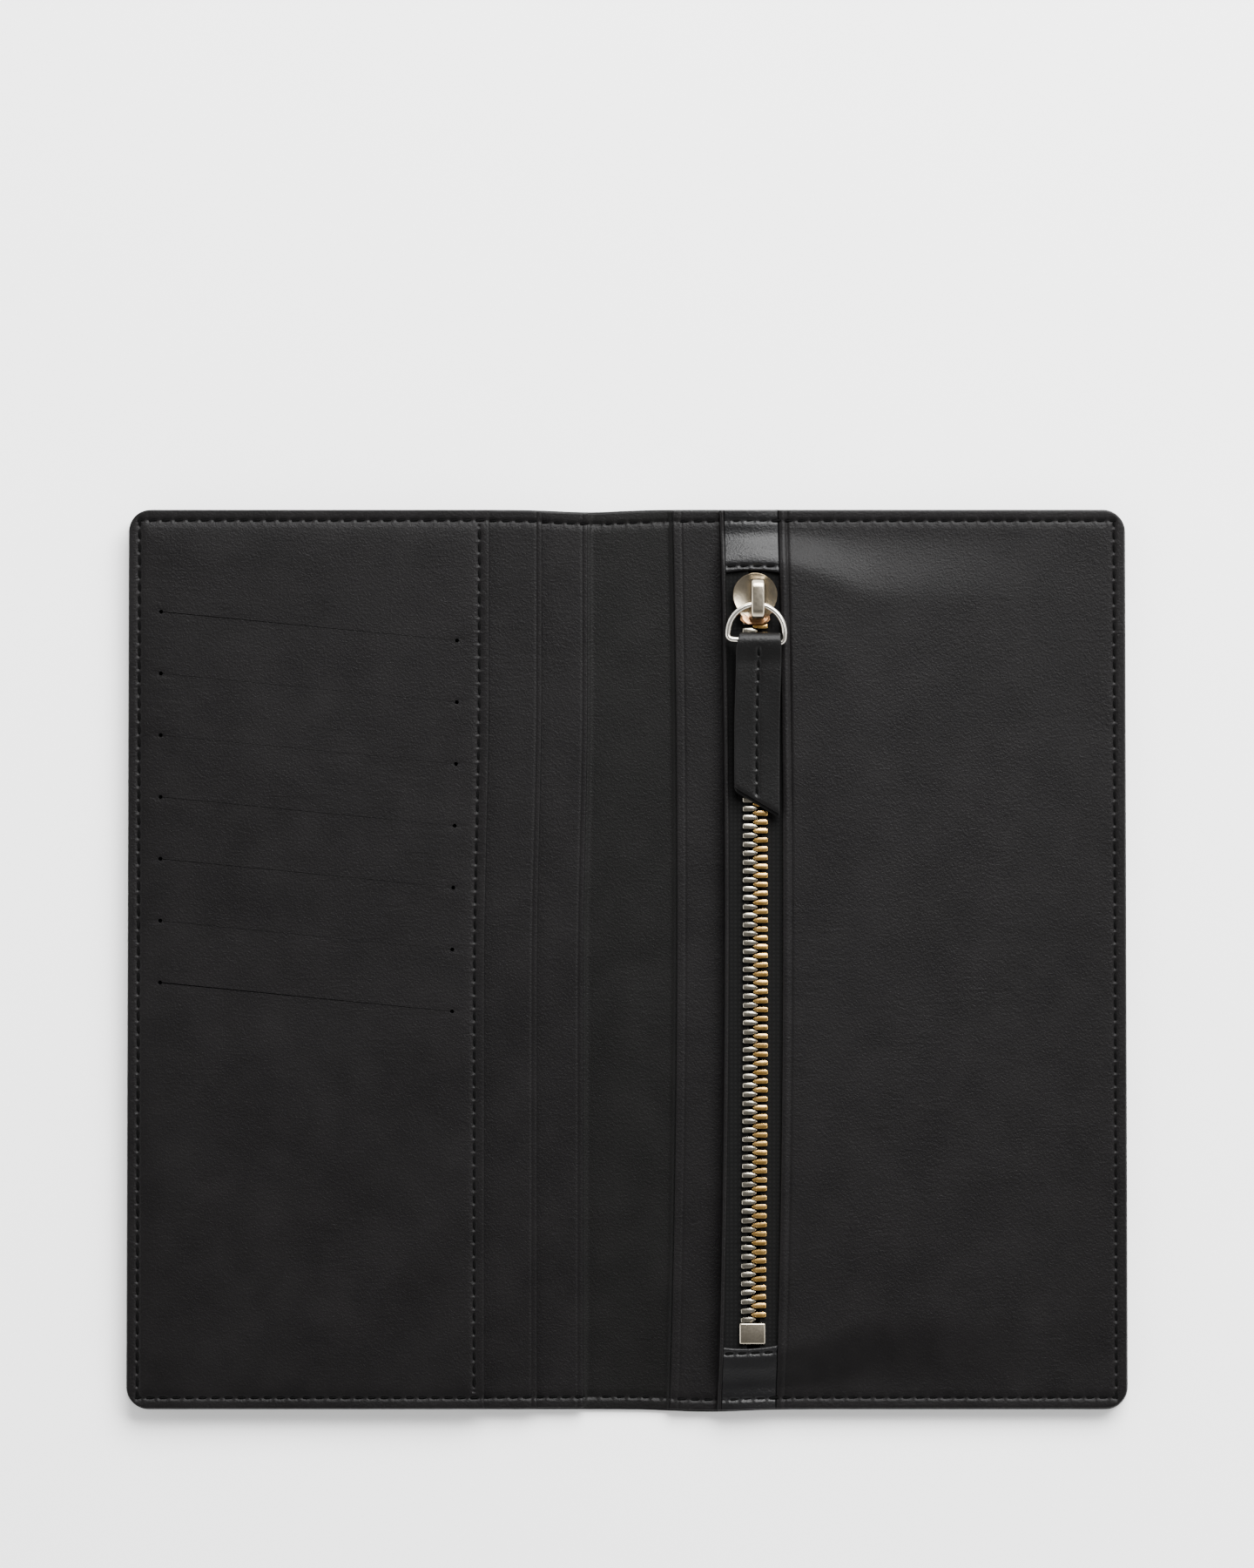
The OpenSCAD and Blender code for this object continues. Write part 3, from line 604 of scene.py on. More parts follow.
def cover_piece(name, side, nodes):
    """Half of the outer cover, from the middle of the spine, with its seam on the outside."""
    piece = leaf_sheet(name, side, 0, lambda u, y: COVER_TOP + 0 * u, seam_depth, 0.32 * MM,
                       outer=COVER_X, half_y=COVER_Y)
    finish_piece(piece, COVER_LEATHER, None, nodes)
    across_fold(piece, side)


cover_piece("outer_cover_left_skin", -1, ["outer_cover_left", "outer_cover_spine"])
cover_piece("outer_cover_right_skin", 1, ["outer_cover_right"])

# ---- Lining in the gutter ----


def lining_piece(name, side, mouth, nodes):
    def rise(u):
        return (LEAF_TOP - SPINE_TOP) * ease((u - mouth) / (0.9 * MM) + 1)

    def top(u, y):
        return SPINE_TOP + rise(u) - seam_depth(u, y) - 0.04 * MM * (1 + waves(side * u, y, 7))

    piece = leaf_sheet(name, side, 0, top, lambda u, y: COVER_TOP + rise(u), 0.12 * MM,
                       extra_u=np.arange(0, 12 * MM, 0.45 * MM))
    finish_piece(piece, LINING_LEATHER, None, nodes)
    across_fold(piece, side)


lining_piece("lining_left_skin", -1, BACK_MOUTH, ["lining_left", "lining_spine"])
lining_piece("lining_right_skin", 1, NOTE_MOUTH, ["lining_right"])

# ---- Pocket panels ----


def crease(u, at, depth=0.10 * MM, width=0.22 * MM):
    """A line pressed into the leather along a pocket's mouth."""
    return depth * np.exp(-(((u - at) / width) ** 2))


def pocket_sheet(node, side, inner, body, seed, crease_in=1.1 * MM, sag=0.05 * MM):
    z0, z1 = low(node, Z), high(node, Z)

    def top(u, y):
        return (z1 - seam_depth(u, y) - crease(u, inner + crease_in)
                - sag * (0.5 + 0.5 * waves(side * u, y, seed)) * np.clip((u - inner) / (6 * MM), 0, 1))

    piece = leaf_sheet(node + "_leather", side, inner, top, lambda u, y: z0 + 0 * u, 0.26 * MM,
                       extra_u=inner + crease_in + LINES, flat_below=True)
    return finish_piece(piece, PANEL_LEATHER, body, [node])


pocket_sheet("long_pocket_back", -1, BACK_MOUTH, "left_leaf", 11)
pocket_sheet("long_pocket_middle", -1, MIDDLE_MOUTH, "left_leaf", 12)
pocket_sheet("note_pocket_right", 1, NOTE_MOUTH, "right_leaf", 13, crease_in=1.7 * MM)

# ---- Card panel with its slots ----

SLOT_LENGTH = 59 * MM
SLOT_TILT = math.radians(5.6)
SLOT_HOLE_R = 0.4 * MM
SLOT_ENDS = [(0.14, 0.05), (0.05, 0.04), (0.05, 0.04), (0.08, 0.05), (0.09, 0.04), (0.07, 0.03),
             (0.19, 0.07)]       # how far each slot gapes at its left and right end, in mm
SLOTS = [n for n in frame["nodes"] if n.startswith("card_pocket_")]
CARD_BOTTOM, CARD_TOP = low("card_panel", Z), high("card_panel", Z)
CARD_SKIN = 0.8 * MM
CARD_SEAM = CARD_EDGE + 2 * MM


def slot_middle(node):
    """Middle of the slot in front of one card pocket."""
    x = middle(node, X)
    half = (high(node, X) - low(node, X)) / 2
    return x, high(node, Y) + SLOT_HOLE_R - math.tan(SLOT_TILT) * half


def slot_dimples(x, y):
    """Height lost round the holes at the slots' ends."""
    total = np.zeros_like(x)
    for node in SLOTS:
        cx, cy = slot_middle(node)
        for end in (-1, 1):
            reach = end * (SLOT_LENGTH / 2 + 0.1 * MM)
            hole = np.hypot(x - cx - reach * math.cos(SLOT_TILT), y - cy + reach * math.sin(SLOT_TILT))
            total += 0.14 * MM * bell(hole, 0, 0.7 * MM)
    return total


def slot_cutter():
    """Seven upright dumb-bell shapes: a thin cut with a round hole at each end."""
    vertices, faces = [], []
    for k, node in enumerate(SLOTS):
        cx, cy = slot_middle(node)
        outline = []
        for side in (1, -1):
            half = SLOT_ENDS[k][side > 0] * MM / 2
            start = math.asin(half / SLOT_HOLE_R)
            for i in range(17):
                a = -math.pi + start + (2 * math.pi - 2 * start) * i / 16
                px = side * (SLOT_LENGTH / 2 + SLOT_HOLE_R * math.cos(a))
                py = side * SLOT_HOLE_R * math.sin(a)
                outline.append((px, py))
        base = len(vertices)
        for z in (CARD_BOTTOM - 1 * MM, CARD_TOP + 2 * MM):
            for px, py in outline:
                vertices.append((cx + px * math.cos(SLOT_TILT) + py * math.sin(SLOT_TILT),
                                 cy - px * math.sin(SLOT_TILT) + py * math.cos(SLOT_TILT), z))
        count = len(outline)
        faces.append([base + i for i in reversed(range(count))])
        faces.append([base + count + i for i in range(count)])
        for i in range(count):
            j = (i + 1) % count
            faces.append([base + i, base + j, base + count + j, base + count + i])
    return mesh_object("slot_cutter", vertices, faces)


def card_panel_piece():
    slots_from = slot_middle(SLOTS[-1])[1] - 5 * MM
    slots_to = slot_middle(SLOTS[0])[1] + 5 * MM

    def top(u, y):
        from_edge = np.minimum(PANEL_X - u, PANEL_Y - np.abs(y))
        press = 0.28 * MM * np.exp(-np.maximum(from_edge - 2 * MM, 0) / (2.5 * MM))
        sewn = np.where(np.abs(y) < SEAM_Y - 1 * MM, bump_row(u - CARD_SEAM, y), 0)
        inner = 0.10 * MM * np.exp(-np.maximum(u - CARD_EDGE - 1.4 * MM, 0) / (2.0 * MM))
        return (CARD_TOP - press - inner - sewn - seam_depth(u, y)
                - slot_dimples(-u, y) - 0.07 * MM * (0.5 + 0.5 * waves(-u, y, 21)))

    def bottom(u, y):
        from_edge = np.minimum(np.minimum(PANEL_X - u, PANEL_Y - np.abs(y)), u - CARD_EDGE)
        inside = ease((from_edge - 3 * MM) / (1.5 * MM))
        return CARD_BOTTOM + (CARD_TOP - CARD_SKIN - CARD_BOTTOM) * inside

    piece = leaf_sheet("card_panel_leather", -1, CARD_EDGE, top, bottom, 0.28 * MM,
                       rows=(SEAM_X, CARD_SEAM), extra_v=np.arange(slots_from, slots_to, 0.33 * MM))
    cutter = slot_cutter()
    cut = piece.modifiers.new("slots", "BOOLEAN")
    cut.operation = "DIFFERENCE"
    cut.solver = "EXACT"
    cut.object = cutter
    apply_modifiers(piece)
    bpy.data.objects.remove(cutter)
    piece.data.shade_smooth()
    piece.data.set_sharp_from_angle(angle=math.radians(35))
    return finish_piece(piece, PANEL_LEATHER, "left_leaf", ["card_panel"])


card_panel_piece()

# ---- Fabric inside the pockets ----


def fabric_sheet(name, corners, z, thickness, steps, body, node, bend=None):
    """A thin woven sheet between four corners, lying at height z."""
    a, b, c, d = [Vector((p[0], p[1], 0)) for p in corners]
    s, t = np.meshgrid(np.linspace(0, 1, steps[0]), np.linspace(0, 1, steps[1]), indexing="ij")
    px = (1 - s) * (1 - t) * a.x + s * (1 - t) * b.x + s * t * c.x + (1 - s) * t * d.x
    py = (1 - s) * (1 - t) * a.y + s * (1 - t) * b.y + s * t * c.y + (1 - s) * t * d.y
    lie = z + 0.0 * px if bend is None else z + bend(px, py)
    vertices, faces = close_grid(1, px, py, lie + thickness, lie)
    piece = mesh_object(name, vertices, faces)
    return finish_piece(piece, POCKET_FABRIC, body, [node])


def card_pocket_piece(node):
    x0, x1 = low(node, X), high(node, X)
    y0, y1 = low(node, Y), high(node, Y)
    z0, z1 = low(node, Z), high(node, Z)
    fall = (x1 - x0) * math.tan(SLOT_TILT)
    corners = [(x0, y0), (x1, y0), (x1, y1 - fall), (x0, y1)]
    piece = fabric_sheet(node + "_fabric", corners, z0, z1 - z0, (14, 18), "left_leaf", node)


for slot_node in SLOTS:
    card_pocket_piece(slot_node)

# ---- Zip pocket: back, front, wall and end tabs ----

BACK_Z = high("zip_pocket_back", Z)
BORDER_Z = BACK_Z + 0.8 * MM


def roof_height(u, y):
    """Top of the leather over the zip pocket: full height along the zip, down to the border
    at both ends, more steeply near the zip, and thinning towards the outer edge."""
    slope = ROOF_SLOPE * (1 + 0.9 * ease((u - ROOF_X) / (22 * MM)))
    ends = (PANEL_Y - BORDER - np.abs(y)) / slope
    side = (PANEL_X - BORDER - u) / (72 * MM)
    return BORDER_Z + (ROOF_TOP - BORDER_Z) * ease(ends * 1.05) * ease(side * 1.02)


def zip_back_piece():
    inner = low("zip_pocket_back", X)
    piece = leaf_sheet("zip_pocket_back_leather", 1, inner, lambda u, y: BACK_Z + 0 * u,
                       lambda u, y: low("zip_pocket_back", Z) + 0 * u, 0.15 * MM, rows=(), step=4 * MM)
    return finish_piece(piece, LINING_LEATHER, "right_leaf", ["zip_pocket_back"])


def zip_front_piece():
    def top(u, y):
        near_top = 0.6 + 0.6 * ease((y + 20 * MM) / (90 * MM))
        lip = 0.16 * MM * bell(u, ROOF_X + 0.85 * MM, 0.5 * MM)
        dip = crease(u, ROOF_X + 1.75 * MM, 0.2 * MM, 0.3 * MM)
        slack = 0.10 * MM * (0.5 + 0.5 * waves(u, y, 31))
        return roof_height(u, y) + (lip - dip) * near_top - slack - seam_depth(u, y)

    def bottom(u, y):
        border = np.minimum(PANEL_X - u, PANEL_Y - np.abs(y))
        inside = ease((border - 3 * MM) / (1.5 * MM))
        return BACK_Z + (roof_height(u, y) - BORDER_Z) * inside

    piece = leaf_sheet("zip_pocket_front_leather", 1, ROOF_X, top, bottom, 0.32 * MM,
                       extra_u=ROOF_X + np.arange(0, 3.2, 0.16) * MM)
    return finish_piece(piece, PANEL_LEATHER, "right_leaf", ["zip_pocket_front"])


def zip_wall_piece():
    """The narrow leather strip along the zip, turned over the tape's edge."""
    width = WALL_X1 - WALL_X0
    us = np.linspace(WALL_X0, WALL_X1, 15)
    vs = spaced(-PANEL_Y, PANEL_Y, 1.3 * MM, EDGE_LINES)
    foot = low("zip_side_wall", Z)

    def top(u, y):
        return roof_height(np.full_like(u, ROOF_X), y) + 0.05 * MM * waves(u, y, 41)

    U, W = np.meshgrid(us, vs, indexing="ij")
    edge = np.minimum(np.minimum(U - WALL_X0, WALL_X1 - U), PANEL_Y - np.abs(W))
    upper = top(U, W) - fillet(np.maximum(edge, 0), width / 2)
    V, F = close_grid(1, U, W, upper, foot + 0 * U)
    V[:, X] += 0.2 * MM * ease((V[:, Z] - foot) / (2 * MM))
    piece = mesh_object("zip_side_wall_leather", V, F)
    return finish_piece(piece, PANEL_LEATHER, "right_leaf", ["zip_side_wall"])


TAB_SEAM = TAB_Y + 1.4 * MM


def end_tab_piece(node, sign):
    """Leather over one end of the zip, pinched by its stitches. Its free edge is folded under
    and bows away from the teeth."""
    us = np.linspace(WALL_X1, ROOF_X, 57)
    vs = with_lines(spaced(TAB_Y, PANEL_Y, FINE, EDGE_LINES), TAB_SEAM + np.array(ACROSS), SEAM_Y + np.array(ACROSS))
    U, V = np.meshgrid(us, vs, indexing="ij")
    from_middle = (2 * U - WALL_X1 - ROOF_X) / (ROOF_X - WALL_X1)
    start = TAB_Y + 0.5 * MM * (1 - from_middle**2)
    W = start + (V - TAB_Y) * (PANEL_Y - start) / (PANEL_Y - TAB_Y)
    edge = np.minimum(np.minimum(U - WALL_X1, ROOF_X - U), np.minimum(W - start, PANEL_Y - W))
    far = np.clip((W - TAB_SEAM) / (3 * MM), 0, 1)
    crown = 0.34 * MM * (1 - from_middle**2) * far
    rows = bump_row(W - TAB_SEAM, U - WALL_X1) + bump_row(W - SEAM_Y, U)
    band = 0.10 * MM * bell(W, start + 0.5 * MM, 0.35 * MM)
    upper = roof_height(np.full_like(U, ROOF_X), W) + crown + band - rows - 0.12 * MM * (1 - far)
    upper = upper - fillet(np.maximum(edge, 0), 0.25 * MM)
    vertices, faces = close_grid(1, U, sign * W, upper, upper - 0.75 * MM)
    if sign < 0:
        faces = [f[::-1] for f in faces]
    piece = mesh_object(node + "_leather", vertices, faces)
    return finish_piece(piece, TAB_LEATHER, "right_leaf", [node])


def bag_piece():
    """The fabric bag: one sheet folded at the far side, its upper half sewn along the zip."""
    node = "zip_pocket_bag"
    corners = np.array([v.co for v in frame["nodes"][node].data.vertices])
    lo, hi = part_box(node)
    half = 0.075 * MM
    bend_x = corners[corners[:, Z] > hi[Z] - half, X].max()
    bend_y = high(node, Y)
    path = [(x, hi[Z] - half) for x in np.linspace(corners[corners[:, Z] > hi[Z] - half, X].min(), bend_x, 8)]
    path += [(bend_x + (hi[X] - half - bend_x) * t, hi[Z] - half + (lo[Z] + 4 * half - hi[Z]) * (0.75 * t + 0.25 * ease(t)))
             for t in np.linspace(0, 1, 26)[1:]]
    path += [(x, lo[Z] + half) for x in np.linspace(hi[X] - half, lo[X], 40)]
    ys = np.linspace(-bend_y, bend_y, 60)
    vertices = []
    for over in (half, -half):
        for i, (x, z) in enumerate(path):
            ahead = Vector(path[min(i + 1, len(path) - 1)]) - Vector(path[max(i - 1, 0)])
            out = Vector((-ahead.y, ahead.x)).normalized() * over
            room = np.maximum(roof_height(x, ys) - 1.0 * MM, lo[Z] + 3 * half)
            vertices += [(x + out.x, y, min(z, top) + out.y) for y, top in zip(ys, room)]
    n, m = len(path), len(ys)
    index = np.arange(n * m).reshape(n, m)
    faces = []
    for a, b, c, d in zip(index[:-1, :-1].ravel(), index[1:, :-1].ravel(), index[1:, 1:].ravel(), index[:-1, 1:].ravel()):
        faces += [(a, b, c, d), (d + n * m, c + n * m, b + n * m, a + n * m)]
    ring = list(index[:, 0]) + list(index[-1, 1:]) + list(index[-2::-1, -1]) + list(index[0, -2:0:-1])
    faces += [(ring[k], ring[k] + n * m, ring[(k + 1) % len(ring)] + n * m, ring[(k + 1) % len(ring)])
              for k in range(len(ring))]
    piece = mesh_object(node + "_fabric", vertices, faces)
    finish_piece(piece, POCKET_FABRIC, "right_leaf", [node])


bag_piece()
zip_back_piece()
zip_front_piece()
zip_wall_piece()
end_tab_piece("zip_end_tab_top", 1)
end_tab_piece("zip_end_tab_bottom", -1)

# ---- Zip tapes and teeth ----


def tape_piece(name, node, side):
    x0, x1 = low(node, X), high(node, X)
    z0 = CHAIN_Z - (TAPE_TOP - CHAIN_Z)
    us = np.linspace(x0, x1, 19 if side < 0 else 31)
    vs = spaced(-high(node, Y), high(node, Y), 1.0 * MM)
    U, W = np.meshgrid(us, vs, indexing="ij")
    lie = roof_height(np.full_like(U, ROOF_X), W) - (ROOF_TOP - TAPE_TOP)
    cord_x = x1 if side < 0 else x0
    cord = 0.28 * MM * np.exp(-(((U - cord_x) / (0.55 * MM)) ** 2))
    ripple = 0.03 * MM * np.sin(2 * math.pi * W / (1.78 * MM)) * np.exp(-np.abs(U - cord_x) / (1.5 * MM))
    inner = np.abs(U - cord_x)
    dish = 0.22 * MM * np.exp(-(((inner - 2.6 * MM) / (1.3 * MM)) ** 2))
    upper = lie + cord + ripple - dish - 0.08 * MM
    under = lie - cord - (TAPE_TOP - z0) - dish
    V, F = close_grid(1, U, W, upper, np.maximum(under, low("zip_pocket_bag", Z)))
    piece = mesh_object(name, V, F, move=settle_chain)
    finish_piece(piece, TAPE_FABRIC, "right_leaf", [node])
    if side < 0:
        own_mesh(piece)
    else:
        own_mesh(piece)
    return piece


tape_piece("zip_tape_left_fabric", "zip_tape_left", -1)
tape_piece("zip_tape_right_fabric", "zip_tape_right", 1)

TOOTH_PITCH = 1.78 * MM
TOOTH_HALF_H = 0.95 * MM
CHAIN_HALF_W = 2.5 * MM


def one_tooth():
    """A zip tooth pointing to +X with its root outward: a rounded block, a shoulder and a head
    that bites past the middle of the chain."""
    outline = [(-2.5, -0.34), (-2.4, -0.45), (-2.15, -0.49), (-0.62, -0.49), (-0.28, -0.44),
               (0.06, -0.26), (0.32, -0.19), (0.45, -0.08), (0.45, 0.08), (0.32, 0.19),
               (0.06, 0.26), (-0.28, 0.44), (-0.62, 0.49), (-2.15, 0.49), (-2.4, 0.45), (-2.5, 0.34)]
    tooth = bmesh.new()
    lowest, highest = -TOOTH_HALF_H, TOOTH_HALF_H
    under = [tooth.verts.new((x * MM, y * MM, lowest)) for x, y in outline]
    over = [tooth.verts.new((x * MM, y * MM, highest)) for x, y in outline]
    tooth.faces.new(list(reversed(under)))
    tooth.faces.new(over)
    count = len(outline)
    for i in range(count):
        j = (i + 1) % count
        tooth.faces.new([under[i], under[j], over[j], over[i]])
    rims = [e for e in tooth.edges if abs(e.verts[0].co.z - e.verts[1].co.z) < 1e-9]
    bmesh.ops.bevel(tooth, geom=rims, offset=0.17 * MM, segments=3, profile=0.5, affect="EDGES")
    vertices = np.array([v.co for v in tooth.verts])
    tooth.verts.index_update()
    faces = [[v.index for v in f.verts] for f in tooth.faces]
    tooth.free()
    return vertices, faces


def teeth_piece(name, node, side, material):
    vertices, faces = one_tooth()
    draw = np.random.RandomState(5 + side)
    first, last = low(node, Y), high(node, Y)
    half_tooth = 0.5 * 0.54 * TOOTH_PITCH
    count = int(round((last - first - 2 * half_tooth) / TOOTH_PITCH)) + 1
    all_v, all_f = [], []
    for k in range(count):
        lean = math.radians(draw.uniform(-2.5, 2.5))
        roll = math.radians(draw.uniform(-3.0, 3.0))
        v = vertices.copy()
        v[:, 0] += 1.6 * MM
        spun = v.copy()
        spun[:, 0] = v[:, 0] * math.cos(lean) - v[:, 1] * math.sin(lean)
        spun[:, 1] = v[:, 0] * math.sin(lean) + v[:, 1] * math.cos(lean)
        tipped = spun.copy()
        tipped[:, 1] = spun[:, 1] * math.cos(roll) - spun[:, 2] * math.sin(roll)
        tipped[:, 2] = spun[:, 1] * math.sin(roll) + spun[:, 2] * math.cos(roll)
        tipped[:, 0] -= 1.6 * MM
        tipped[:, 0] *= -side
        tipped += (ZIP_X, first + half_tooth + k * TOOTH_PITCH, CHAIN_Z)
        base = k * len(vertices)
        all_v.append(tipped)
        flip = side > 0
        all_f += [[base + i for i in (reversed(f) if flip else f)] for f in faces]
    piece = mesh_object(name, np.vstack(all_v), all_f, 50, settle_chain)
    finish_piece(piece, material, "right_leaf", [node])
    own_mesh(piece)
    return piece


teeth_piece("zip_teeth_left_metal", "zip_teeth_left", -1, NICKEL)
teeth_piece("zip_teeth_right_metal", "zip_teeth_right", 1, BRASS)


def rounded_block(name, lo, hi, radius, segments=4):
    """A block with rounded edges."""
    block = bmesh.new()
    bmesh.ops.create_cube(block, size=1.0)
    for v in block.verts:
        for axis in range(3):
            v.co[axis] = lo[axis] if v.co[axis] < 0 else hi[axis]
    bmesh.ops.bevel(block, geom=list(block.edges), offset=radius, segments=segments, profile=0.5, affect="EDGES")
    mesh = bpy.data.meshes.new(name)
    block.to_mesh(mesh)
    block.free()
    mesh.shade_smooth()
    mesh.set_sharp_from_angle(angle=math.radians(50))
    piece = bpy.data.objects.new(name, mesh)
    bpy.context.scene.collection.objects.link(piece)
    return piece


stop_lo, stop_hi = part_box("zip_bottom_stop")
stop_shift = Vector((settle_chain(ZIP_X, stop_lo.y)[0] - ZIP_X - 0.2 * MM, 0, 0))
stop = rounded_block("zip_bottom_stop_metal", stop_lo + stop_shift, stop_hi + stop_shift, 0.34 * MM)
finish_piece(stop, BRIDGE_METAL, "right_leaf", ["zip_bottom_stop"])

# ---- Slider ----

DISC_R = 4.4 * MM
PLATE_T = 0.8 * MM
SLIDER_LOW, SLIDER_TOP = low("slider_body", Y), high("slider_body", Y)
DISC_Y = SLIDER_TOP - DISC_R
PLATE_TOP = high("slider_body", Z)
PLATE_LOW = low("slider_body", Z)


def slider_outline(shrink=0.0):
    """A disc that narrows to a waist, then a flared tail with cut corners."""
    r = DISC_R - shrink
    waist_y, waist_x = DISC_Y - 3.55 * MM, 2.7 * MM - shrink
    flare_x = 3.04 * MM - shrink
    bottom = SLIDER_LOW + shrink
    start = math.atan2(-(DISC_Y - waist_y) + 0.2 * MM, waist_x)
    points = []
    for k in range(61):
        a = start + (math.pi - 2 * start) * k / 60
        points.append((ZIP_X + r * math.cos(a), DISC_Y + r * math.sin(a)))
    left = [(-flare_x, waist_y - 0.55 * MM), (-flare_x, bottom + 0.8 * MM), (-flare_x + 0.65 * MM, bottom + 0.12 * MM),
            (-1.5 * MM, bottom), (0.0, bottom)]
    points += [(ZIP_X + x, y) for x, y in left]
    points += [(ZIP_X - x, y) for x, y in reversed(left[:-1])]
    return points


def plate_prism(builder, outline, z0, z1):
    under = [builder.verts.new((x, y, z0)) for x, y in outline]
    over = [builder.verts.new((x, y, z1)) for x, y in outline]
    builder.faces.new(list(reversed(under)))
    builder.faces.new(over)
    count = len(outline)
    for i in range(count):
        j = (i + 1) % count
        builder.faces.new([under[i], under[j], over[j], over[i]])


def bevel_rims(builder, level, offset, segments):
    """Bevels the edges of the flat faces at one height."""
    rims = [e for e in builder.edges if all(abs(v.co.z - level) < 1e-9 for v in e.verts)]
    bmesh.ops.bevel(builder, geom=rims, offset=offset, segments=segments, profile=0.5, affect="EDGES")


def slider_piece():
    builder = bmesh.new()
    plate_prism(builder, slider_outline(), PLATE_TOP - PLATE_T, PLATE_TOP)
    plate_prism(builder, slider_outline(), PLATE_LOW, PLATE_LOW + PLATE_T)
    bevel_rims(builder, PLATE_TOP, 0.44 * MM, 4)
    for level in (PLATE_TOP - PLATE_T, PLATE_LOW, PLATE_LOW + PLATE_T):
        bevel_rims(builder, level, 0.22 * MM, 2)
    face = max(builder.faces, key=lambda f: (round(f.calc_center_median().z, 5), f.calc_area()))
    bmesh.ops.inset_individual(builder, faces=[face], thickness=0.12 * MM, depth=-0.07 * MM)
    # rims that guide the teeth, and the post that parts them
    for sign in (-1, 1):
        for z0, z1 in ((PLATE_LOW + PLATE_T, PLATE_LOW + 1.45 * MM), (PLATE_TOP - 1.45 * MM, PLATE_TOP - PLATE_T)):
            wall = [(ZIP_X + sign * x, y) for x, y in (
                (2.62 * MM, SLIDER_LOW + 0.8 * MM), (3.0 * MM, SLIDER_LOW + 0.8 * MM),
                (3.0 * MM, DISC_Y - 2.6 * MM), (3.9 * MM, DISC_Y), (3.75 * MM, DISC_Y + 1.5 * MM),
                (3.35 * MM, DISC_Y + 1.5 * MM), (3.5 * MM, DISC_Y), (2.62 * MM, DISC_Y - 2.4 * MM))]
            plate_prism(builder, wall if sign > 0 else wall[::-1], z0, z1)
    post = [(ZIP_X + 0.8 * MM * math.cos(a), SLIDER_TOP - 1.6 * MM + 1.0 * MM * math.sin(a))
            for a in np.linspace(0, 2 * math.pi, 17)[:-1]]
    plate_prism(builder, post, PLATE_LOW + PLATE_T, PLATE_TOP - PLATE_T)
    mesh = bpy.data.meshes.new("slider_body_metal")
    builder.to_mesh(mesh)
    builder.free()
    mesh.shade_smooth()
    mesh.set_sharp_from_angle(angle=math.radians(40))
    piece = bpy.data.objects.new("slider_body_metal", mesh)
    bpy.context.scene.collection.objects.link(piece)
    return finish_piece(piece, SLIDER_METAL, "slider", ["slider_body"])


def swept_bar(name, path, width, thickness, radius, segments=3):
    """A flat bar of rounded rectangular section that follows a path in the YZ plane."""
    w, t, r = width / 2, thickness / 2, radius
    section = []
    for cx, cz, a0 in ((w - r, t - r, 0), (-w + r, t - r, 90), (-w + r, -t + r, 180), (w - r, -t + r, 270)):
        for k in range(segments + 1):
            a = math.radians(a0 + 90 * k / segments)
            section.append((cx + r * math.cos(a), cz + r * math.sin(a)))
    vertices, faces = [], []
    count = len(section)
    for i, (y, z) in enumerate(path):
        before, after = path[max(i - 1, 0)], path[min(i + 1, len(path) - 1)]
        heading = Vector((after[0] - before[0], after[1] - before[1])).normalized()
        normal = Vector((-heading.y, heading.x))
        for sx, st in section:
            vertices.append((ZIP_X + sx, y + normal.x * st, z + normal.y * st))
        if i:
            a, b = (i - 1) * count, i * count
            for k in range(count):
                j = (k + 1) % count
                faces.append([a + k, b + k, b + j, a + j])
    faces.append(list(range(count)))
    faces.append([(len(path) - 1) * count + k for k in reversed(range(count))])
    return mesh_object(name, vertices, faces, 40, None)


def bridge_piece():
    y0, y1 = low("slider_bridge", Y), high("slider_bridge", Y)
    top = high("slider_bridge", Z)
    half_t = 0.43 * MM
    foot = PLATE_TOP - 0.25 * MM
    crest = top - half_t
    bend = 1.5 * MM
    left, right = y0 + half_t, y1 - half_t
    path = [(left, foot), (left, crest - bend)]
    path += [(left + bend - bend * math.cos(a), crest - bend + bend * math.sin(a))
             for a in np.linspace(0.15, math.pi / 2, 9)]
    path += [(right - bend + bend * math.sin(a), crest - bend + bend * math.cos(a))
             for a in np.linspace(0, math.pi / 2 - 0.15, 9)]
    path += [(right, crest - bend), (right, foot)]
    width = high("slider_bridge", X) - low("slider_bridge", X)
    piece = swept_bar("slider_bridge_metal", path, width, 2 * half_t, 0.4 * MM, 4)
    for v in piece.data.vertices:
        v.co.x += 0.5 * MM * ease((v.co.z - PLATE_TOP) / (1.5 * MM))
    return finish_piece(piece, BRIDGE_METAL, "slider", ["slider_bridge"])


slider_piece()
bridge_piece()

# ---- Pull ring ----

WIRE_R = (high("pull_ring", Z) - low("pull_ring", Z)) / 2
RING_Z = middle("pull_ring", Z)
RING_TURN = math.radians(-4.5)


